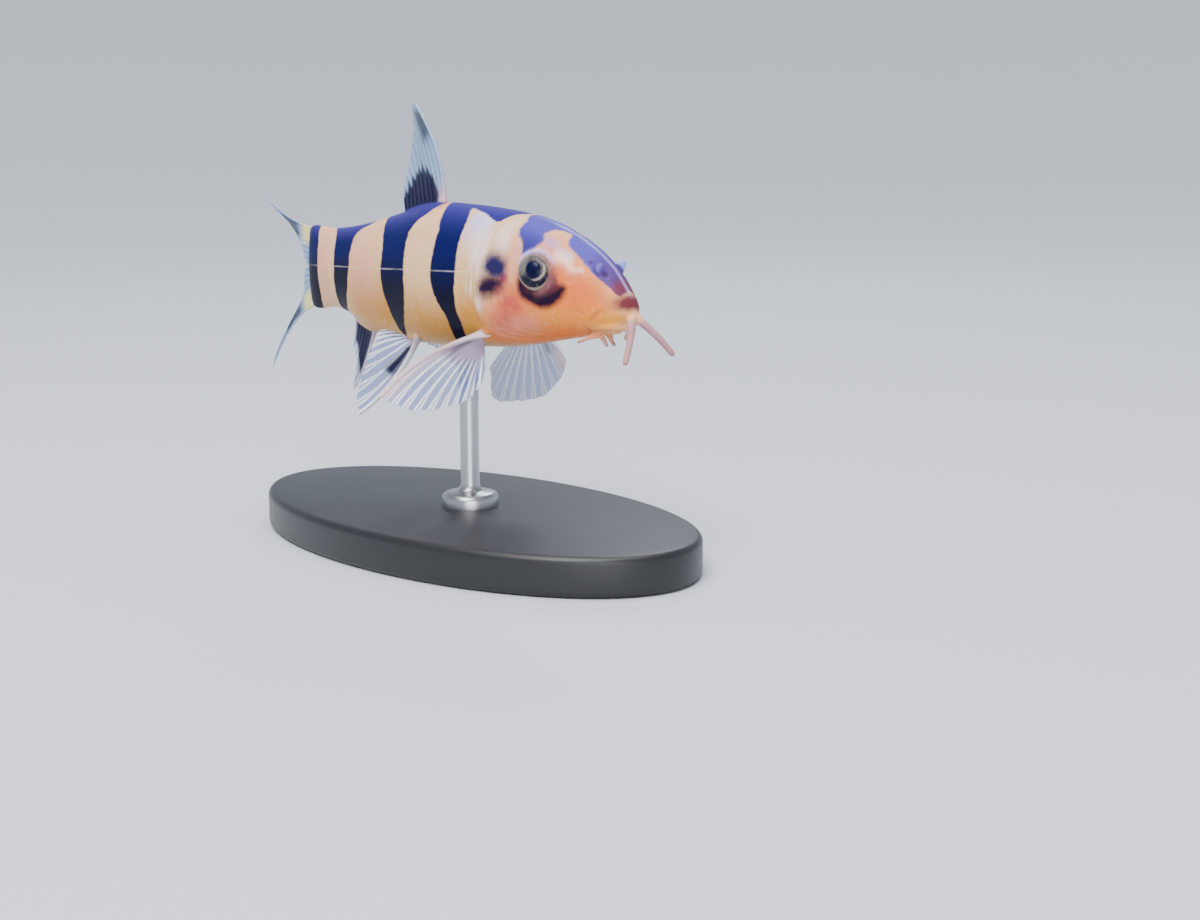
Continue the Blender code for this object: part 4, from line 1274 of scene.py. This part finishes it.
def fin_material(colours):
    """Fin membrane: thin clear skin between whitish bony rays, wet, so it lets light through."""
    made, tree, shader = new_material("fin_membrane")
    place = add_node(tree, "ShaderNodeTexCoord")["Object"]
    tint = add_node(tree, "ShaderNodeAttribute", attribute_name="tint")["Color"]
    cover = add_node(tree, "ShaderNodeAttribute", attribute_name="cover")["Fac"]
    reach = add_node(tree, "ShaderNodeAttribute", attribute_name="reach")["Fac"]
    mottle = add_node(tree, "ShaderNodeTexNoise", {"Vector": place, "Scale": 900.0, "Detail": 3.0})[0]
    cloud = add_node(
        tree,
        "ShaderNodeMapRange",
        {"Value": mottle, "From Min": 0.45, "From Max": 0.75, "To Max": 0.035},
        interpolation_type="SMOOTHSTEP",
    )[0]
    # each ray is jointed every 0.35 mm
    turns = add_node(tree, "ShaderNodeMath", {0: reach, 1: 18.0}, operation="MULTIPLY")[0]
    joints = add_node(tree, "ShaderNodeMath", {0: turns}, operation="SINE")[0]
    relief = add_node(tree, "ShaderNodeBump", {"Strength": 0.1, "Distance": 0.00003, "Height": joints})[0]
    rough = add_node(tree, "ShaderNodeMapRange", {"Value": mottle, "To Min": 0.3, "To Max": 0.46})[0]
    plug(tree, shader, {
        "Base Color": laid_over(tree, tint, (cloud, colours.cloudy_membrane)),
        "Alpha": cover,
        "Normal": relief,
        "Roughness": rough,
        "Specular IOR Level": 0.15,
        "Subsurface Weight": 0.5,
        "Subsurface Radius": (1.0, 1.0, 1.0),
        "Subsurface Scale": 0.0004,
        "Coat Weight": 0.12,
        "Coat Roughness": 0.25,
    })
    return made


# Stand

def make_base(sizes):
    """An oval slab with rounded edges."""
    deselect()
    size = BASE_HIGH - BASE_LOW
    bpy.ops.mesh.primitive_cylinder_add(
        vertices=192, radius=0.5, depth=1.0, location=(BASE_LOW + BASE_HIGH) / 2, scale=size
    )
    slab = bpy.context.active_object
    slab.name = slab.data.name = "oval_base"
    bpy.ops.object.transform_apply(location=True, rotation=True, scale=True)
    apply_modifier(
        slab,
        "Edge",
        "BEVEL",
        width=sizes.base_edge,
        segments=5,
        limit_method="ANGLE",
        angle_limit=math.radians(60),
    )
    return slab


def make_rod(sizes):
    """A turned rod with a low foot, up from the base into the belly."""
    low = BASE_HIGH.z
    top = (AXIS_HEIGHT - 6.6) * MM
    rod = sizes.rod_radius
    profile = (
        (0.0, low), (3.0 * MM, low), (3.0 * MM, low + 0.9 * MM), (2.85 * MM, low + 1.25 * MM),
        (2.5 * MM, low + 1.45 * MM), (1.7 * MM, low + 1.5 * MM), (rod + 0.35 * MM, low + 1.65 * MM),
        (rod + 0.1 * MM, low + 1.95 * MM), (rod, low + 2.4 * MM), (rod, top), (0.0, top),
    )
    deselect()
    bpy.ops.mesh.primitive_plane_add(size=1, location=(0, 0, 0))
    turned = bpy.context.active_object
    turned.name = turned.data.name = "steel_rod"
    turned.data.clear_geometry()
    edges = [(i, i + 1) for i in range(len(profile) - 1)]
    turned.data.from_pydata([(x, 0, z) for x, z in profile], edges, [])
    edit(
        turned,
        (bpy.ops.mesh.spin, {"steps": 64, "angle": 2 * math.pi, "center": (0, 0, 0), "axis": (0, 0, 1)}),
        (bpy.ops.mesh.select_all, {"action": "SELECT"}),
        (bpy.ops.mesh.remove_doubles, {"threshold": 1e-6}),
        (bpy.ops.mesh.normals_make_consistent, {"inside": False}),
    )
    return turned


def base_material(colours):
    """Satin black moulded plastic: a fine even grain and soft broad highlights."""
    made, tree, shader = new_material("satin_black_plastic")
    place = add_node(tree, "ShaderNodeTexCoord")["Object"]
    grain = add_node(tree, "ShaderNodeTexNoise", {"Vector": place, "Scale": 2600.0, "Detail": 2.0})[0]
    broad = add_node(tree, "ShaderNodeTexNoise", {"Vector": place, "Scale": 60.0, "Detail": 2.0})[0]
    rough = add_node(tree, "ShaderNodeMapRange", {"Value": broad, "To Min": 0.34, "To Max": 0.46})[0]
    relief = add_node(tree, "ShaderNodeBump", {"Strength": 0.12, "Distance": 0.00004, "Height": grain})[0]
    colour = laid_over(tree, (*colours.base, 1), (broad, colours.base_worn))
    plug(tree, shader, {"Base Color": colour, "Roughness": rough, "Normal": relief})
    return made


def steel_material(colours):
    """Turned stainless steel: fine rings round the rod stretch its highlights."""
    made, tree, shader = new_material("turned_steel")
    place = add_node(tree, "ShaderNodeTexCoord")["Object"]
    rings = add_node(tree, "ShaderNodeMapping", {"Vector": place, "Scale": (30.0, 30.0, 9000.0)})[0]
    lines = add_node(tree, "ShaderNodeTexNoise", {"Vector": rings, "Scale": 1.0, "Detail": 2.0})[0]
    rough = add_node(tree, "ShaderNodeMapRange", {"Value": lines, "To Min": 0.22, "To Max": 0.4})[0]
    relief = add_node(tree, "ShaderNodeBump", {"Strength": 0.1, "Distance": 0.00002, "Height": lines})[0]
    colour = laid_over(tree, (*colours.steel, 1), (lines, colours.steel_line))
    plug(tree, shader, {"Base Color": colour, "Roughness": rough, "Normal": relief, "Metallic": 1.0})
    return made


# Studio

def make_floor(studio):
    """A wide round floor whose rim curves up into a low wall."""
    deselect()
    bpy.ops.mesh.primitive_circle_add(vertices=128, radius=0.5, fill_type="NGON", location=(0, 0, 0))
    floor = bpy.context.active_object
    floor.name = floor.data.name = "studio_floor"
    only(floor)
    bpy.ops.object.mode_set(mode="EDIT")
    bpy.ops.mesh.select_all(action="DESELECT")
    bpy.ops.mesh.select_mode(type="EDGE")
    bpy.ops.mesh.select_non_manifold()
    turns = 14
    bend = 1.5
    for i in range(turns):
        here, there = (math.radians(90) * step / turns for step in (i, i + 1))
        out = bend * (math.sin(there) - math.sin(here))
        up = bend * (math.cos(here) - math.cos(there))
        radius = 0.5 + bend * math.sin(here)
        bpy.ops.mesh.extrude_edges_move()
        grow = (radius + out) / radius
        bpy.ops.transform.resize(value=(grow, grow, 1), center_override=(0, 0, 0))
        bpy.ops.transform.translate(value=(0, 0, up))
    bpy.ops.mesh.select_all(action="SELECT")
    bpy.ops.mesh.normals_make_consistent(inside=True)
    bpy.ops.object.mode_set(mode="OBJECT")
    bpy.ops.object.shade_smooth()
    made, tree, shader = new_material("matt_studio_paper")
    place = add_node(tree, "ShaderNodeTexCoord")["Object"]
    fibres = add_node(tree, "ShaderNodeTexNoise", {"Vector": place, "Scale": 900.0, "Detail": 2.0})[0]
    share = add_node(tree, "ShaderNodeMapRange", {"Value": fibres, "To Max": 0.06})[0]
    colour = laid_over(tree, (*studio.floor, 1), (share, studio.floor_fibre))
    plug(tree, shader, {"Base Color": colour, "Roughness": 0.85})
    floor.data.materials.append(made)
    floor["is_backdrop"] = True


def area_light(name, place, size, power, colour=(1, 1, 1)):
    bpy.ops.object.light_add(type="AREA", location=place)
    light = bpy.context.active_object
    light.name = name
    light.data.shape = "DISK"
    light.data.size = size
    light.data.energy = power
    light.data.color = colour
    aim = Vector((0.0, 0.0, 0.028)) - Vector(place)
    light.rotation_euler = aim.to_track_quat("-Z", "Y").to_euler()


def make_camera(studio):
    """The photograph's own view."""
    bpy.ops.object.camera_add(location=[part * MM for part in CAMERA_PLACE])
    camera = bpy.context.active_object
    camera.name = "photo_view"
    azimuth, pitch = studio.azimuth, studio.pitch
    back = Vector(
        (math.sin(azimuth) * math.cos(pitch), -math.cos(azimuth) * math.cos(pitch), math.sin(pitch))
    )
    camera.rotation_euler = (-back).to_track_quat("-Z", "Y").to_euler()
    camera.data.lens = CAMERA_LENS
    camera.data.sensor_width = CAMERA_FRAME_WIDTH
    camera.data.clip_start = 0.005
    camera.data.clip_end = 20.0
    bpy.context.scene.camera = camera


def length_setting(name, text, default, low, high):
    return bpy.props.FloatProperty(
        name=name, description=text, default=default, min=low, max=high, unit="LENGTH", precision=5
    )


def power_setting(name, text, default):
    return bpy.props.FloatProperty(name=name, description=text, default=default, min=0, unit="POWER")


def angle_setting(name, text, degrees):
    return bpy.props.FloatProperty(
        name=name, description=text, default=math.radians(degrees), subtype="ANGLE"
    )


def colour_setting(name, text, code):
    return bpy.props.FloatVectorProperty(
        name=name, description=text, default=linear(code), size=3, min=0, max=1, subtype="COLOR"
    )


class LoachSizes(bpy.types.PropertyGroup):
    """Sizes of the loach and its stand that a user would change."""

    skin_detail: length_setting("Skin Detail", "Size of the skin's smallest facet", 0.00014, 0.0001, 0.001)
    eye_radius: length_setting("Eye Radius", "Radius of each eyeball", 0.00182, 0.001, 0.003)
    fin_root: length_setting("Fin Root", "Thickness of a fin where it leaves the skin", 0.0005, 0.0002, 0.001)
    fin_membrane: length_setting("Fin Membrane", "Thickness between the rays", 0.00012, 0.00005, 0.0005)
    rod_radius: length_setting("Rod Radius", "Radius of the stand's rod", 0.001, 0.0005, 0.002)
    base_edge: length_setting("Base Edge", "Rounding of the base's edges", 0.0007, 0.0002, 0.0015)


class LoachColours(bpy.types.PropertyGroup):
    """Colours of the loach and its stand."""

    cream: colour_setting("Cream", "Flank between the bands", "#DFB78C")
    gold: colour_setting("Gold", "Lower flank and belly", "#C4852F")
    peach: colour_setting("Peach", "Head and throat", "#E2702F")
    salmon: colour_setting("Salmon", "Cheek ahead of the eye", "#DE6A48")
    rosy: colour_setting("Rosy", "Pinkish parts of the flank and head", "#DC9886")
    lilac: colour_setting("Lilac", "Brow", "#B78CD0")
    # painted highlights on the head, and pale specks all over the skin
    light: colour_setting("Light", "Pale patches of the head", "#FBD8CC")
    frost: colour_setting("Frost", "Bluish white patches of nape and brow", "#BFBCEC")
    mouth_yellow: colour_setting("Mouth Yellow", "Skin round the mouth", "#EE9A30")
    blush: colour_setting("Blush", "Flush of the gill cover", "#BC4640")
    crimson: colour_setting("Crimson", "Red beside the gill cover's spots", "#B0304A")
    straw: colour_setting("Straw", "Greenish skin behind the head", "#C4B47C")
    # painted shade ahead of the eye
    socket: colour_setting("Socket", "Shade ahead of the eye", "#7A5450")
    pale: colour_setting("Pale", "Silvery patches and lateral line", "#EBDCE4")
    # painted sheen and shade of the bands: violet on the back, navy on the flank, darkest low down
    violet: colour_setting("Violet", "Bands on the back", "#383280")
    navy: colour_setting("Navy", "Bands on the flank", "#0A104A")
    navy_shade: colour_setting("Deep Navy", "Bands low on the flank", "#080722")
    crown_violet: colour_setting("Crown Violet", "Stripe over the crown and forehead", "#4E48A4")
    stripe_dusk: colour_setting("Stripe Dusk", "Front end of the stripe", "#4E3878")
    maroon: colour_setting("Maroon", "Crescent under the eye", "#1E0C26")
    # painted shade under the eye
    dusk: colour_setting("Dusk", "Shade between eye and crescent", "#54283C")
    brown: colour_setting("Brown", "Patch on the snout", "#6A3038")
    spot: colour_setting("Lower Spot", "Lower spot of the gill cover", "#241030")
    spot_blue: colour_setting("Upper Spot", "Upper spot of the gill cover", "#26224C")
    feeler: colour_setting("Feeler", "Barbels", "#AC8088")
    flap: colour_setting("Nostril Flap", "Leaf of skin behind the nostril", "#8E9EE6")
    # painted highlight on the eye's upper fold and along the snout's ridge
    lilac_highlight: colour_setting("Rim Lilac", "Upper fold of the eye and ridge of the snout", "#BDB4F0")
    # painted shade in the mouth's slit and the nostril pits
    shaded_crease: colour_setting("Crease", "Inside mouth and nostrils", "#4A2834")
    pupil: colour_setting("Pupil", "Lens of the eye", "#01022A")
    iris_arc: colour_setting("Iris Arc", "Bright arc beside the pupil", "#9A8E84")
    iris_grey: colour_setting("Iris Grey", "Upper part of the iris", "#423A3E")
    iris_light: colour_setting("Iris Light", "Rear part of the iris", "#5E625E")
    iris_dark: colour_setting("Iris Dark", "Lower part of the iris", "#0A0A24")
    eye_rim: colour_setting("Eye Rim", "Pale rim round the iris", "#A08A80")
    membrane: colour_setting("Membrane", "Clear skin between the rays", "#4C6CB4")
    cloudy_membrane: colour_setting("Cloudy Membrane", "Skin of the back and tail fins", "#7C98BE")
    ray: colour_setting("Ray", "Fin rays", "#F4F4FF")
    fin_flesh: colour_setting("Fin Flesh", "Thick lower part of a fin", "#C4A4AE")
    fin_pink: colour_setting("Fin Pink", "Warm leading edges", "#DDB4BC")
    fin_yellow: colour_setting("Fin Yellow", "Base of the tail fin", "#E9DC9A")
    fin_dark: colour_setting("Fin Dark", "Dark patches of the fins", "#100E30")
    base: colour_setting("Base", "Stand's base", "#121316")
    base_worn: colour_setting("Base, Paler", "Paler clouds of the base", "#1B1C20")
    steel: colour_setting("Steel", "Stand's rod", "#C4C6C8")
    steel_line: colour_setting("Steel Line", "Fine rings of the rod", "#9B9DA0")


class LoachStudio(bpy.types.PropertyGroup):
    """Floor, lights and camera."""

    floor: colour_setting("Floor", "Studio floor", "#C3C9D1")
    floor_fibre: colour_setting("Floor Fibre", "Fibres of its paper", "#B9BEC4")
    ceiling_power: power_setting("Ceiling Light", "Power of the wide light overhead", 55.0)
    key_power: power_setting("Key Light", "Power of the main light", 6.0)
    fill_power: power_setting("Fill Light", "Power of the low light in front", 1.1)
    rim_power: power_setting("Rim Light", "Power of the small light behind", 0.8)
    sky: bpy.props.FloatProperty(
        name="Room Light", description="Brightness of the room's even light", default=0.25, min=0
    )
    azimuth: angle_setting("Azimuth", "Camera's turn round the fish", 46.054)
    pitch: angle_setting("Pitch", "Camera's dip below level", 9.885)


class LOACH_OT_skin(bpy.types.Operator):
    """Models the skin of head, body and feelers as one surface"""

    bl_idname = "loach.skin"
    bl_label = "Add Skin"

    def execute(self, context):
        skin = make_skin(context.scene.loach_sizes, context.scene.loach_colours)
        nodes = ["head", "trunk", "tail_stalk"]
        for kind in ("rostral_outer", "rostral_inner", "maxillary", "mandibular"):
            nodes += [f"barbel_{kind}_left", f"barbel_{kind}_right"]
        settle(skin, skin_material(context.scene.loach_colours), "skin", *nodes)
        return {"FINISHED"}


class LOACH_OT_eyes(bpy.types.Operator):
    """Models both eyes"""

    bl_idname = "loach.eyes"
    bl_label = "Add Eyes"

    def execute(self, context):
        finish = eye_material(context.scene.loach_colours)
        for side, node in ((1, "eye_left"), (-1, "eye_right")):
            eye = make_eye(side, context.scene.loach_sizes, context.scene.loach_colours)
            settle(eye, finish, "eye", node)
        return {"FINISHED"}


class LOACH_OT_fins(bpy.types.Operator):
    """Models all the fins, each from its own rays"""

    bl_idname = "loach.fins"
    bl_label = "Add Fins"

    def execute(self, context):
        sizes, colours = context.scene.loach_sizes, context.scene.loach_colours
        finish = fin_material(colours)
        specs = dict(MEDIAN_FINS)
        for kind in ("pectoral", "pelvic"):
            for side_name in ("left", "right"):
                specs[f"{kind}_fin_{side_name}"] = paired_fin(kind, side_name)
        for number, (node, spec) in enumerate(specs.items()):
            fin = make_fin(node + "_web", spec, sizes, colours, *FIN_LOOKS[node], seed=1.0 + number)
            settle(fin, finish, "fin", node)
        return {"FINISHED"}


class LOACH_OT_stand(bpy.types.Operator):
    """Models the display stand's base and rod"""

    bl_idname = "loach.stand"
    bl_label = "Add Stand"

    def execute(self, context):
        sizes, colours = context.scene.loach_sizes, context.scene.loach_colours
        base = make_base(sizes)
        settle(base, base_material(colours), "base", "stand_base")
        rod = make_rod(sizes)
        settle(rod, steel_material(colours), "rod", "stand_rod")
        for piece in (base, rod):
            only(piece)
            bpy.ops.object.shade_smooth_by_angle(angle=math.radians(40))
        return {"FINISHED"}


class LOACH_OT_studio(bpy.types.Operator):
    """Adds the floor, the soft lights and the camera"""

    bl_idname = "loach.studio"
    bl_label = "Add Studio"

    def execute(self, context):
        studio = context.scene.loach_studio
        make_floor(studio)
        area_light("ceiling_light", (0.0, 0.0, 2.2), 2.4, studio.ceiling_power, (0.95, 0.97, 1.0))
        area_light("key_light", (0.16, -0.34, 0.58), 0.4, studio.key_power, (1.0, 0.97, 0.93))
        area_light("fill_light", (0.34, -0.26, 0.06), 0.3, studio.fill_power, (1.0, 0.99, 0.97))
        area_light("rim_light", (-0.30, 0.42, 0.40), 0.12, studio.rim_power, (0.86, 0.9, 1.0))
        world = bpy.data.worlds.new("studio_room")
        world.use_nodes = True
        world.node_tree.nodes["Background"].inputs[0].default_value = (0.92, 0.95, 1.0, 1.0)
        world.node_tree.nodes["Background"].inputs[1].default_value = studio.sky
        context.scene.world = world
        make_camera(studio)
        return {"FINISHED"}


STEPS = (LOACH_OT_skin, LOACH_OT_eyes, LOACH_OT_fins, LOACH_OT_stand, LOACH_OT_studio)


class LOACH_PT_panel(bpy.types.Panel):
    """Lists the loach's sizes, colours and steps"""

    bl_idname = "LOACH_PT_panel"
    bl_label = "Banded Loach"
    bl_space_type = "VIEW_3D"
    bl_region_type = "UI"
    bl_category = "Loach"

    def draw(self, context):
        layout = self.layout
        for name in ("loach_sizes", "loach_colours", "loach_studio"):
            group = getattr(context.scene, name)
            box = layout.box()
            for key in group.bl_rna.properties.keys():
                if key not in ("rna_type", "name"):
                    box.prop(group, key)
        for step in STEPS:
            layout.operator(step.bl_idname)


GROUPS = (("loach_sizes", LoachSizes), ("loach_colours", LoachColours), ("loach_studio", LoachStudio))


def register():
    for name, group in GROUPS:
        bpy.utils.register_class(group)
        setattr(bpy.types.Scene, name, bpy.props.PointerProperty(type=group))
    for step in STEPS:
        bpy.utils.register_class(step)
    bpy.utils.register_class(LOACH_PT_panel)


def unregister():
    bpy.utils.unregister_class(LOACH_PT_panel)
    for step in reversed(STEPS):
        bpy.utils.unregister_class(step)
    for name, group in reversed(GROUPS):
        delattr(bpy.types.Scene, name)
        bpy.utils.unregister_class(group)


def main():
    register()
    bpy.ops.loach.skin()
    bpy.ops.loach.eyes()
    bpy.ops.loach.fins()
    bpy.ops.loach.stand()
    bpy.ops.loach.studio()
    boxes = {"cad": SOLID_BOX, "visual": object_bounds()}
    boxes = {name: [list(corner) for corner in box] for name, box in boxes.items()}


if __name__ == "__main__":
    main()
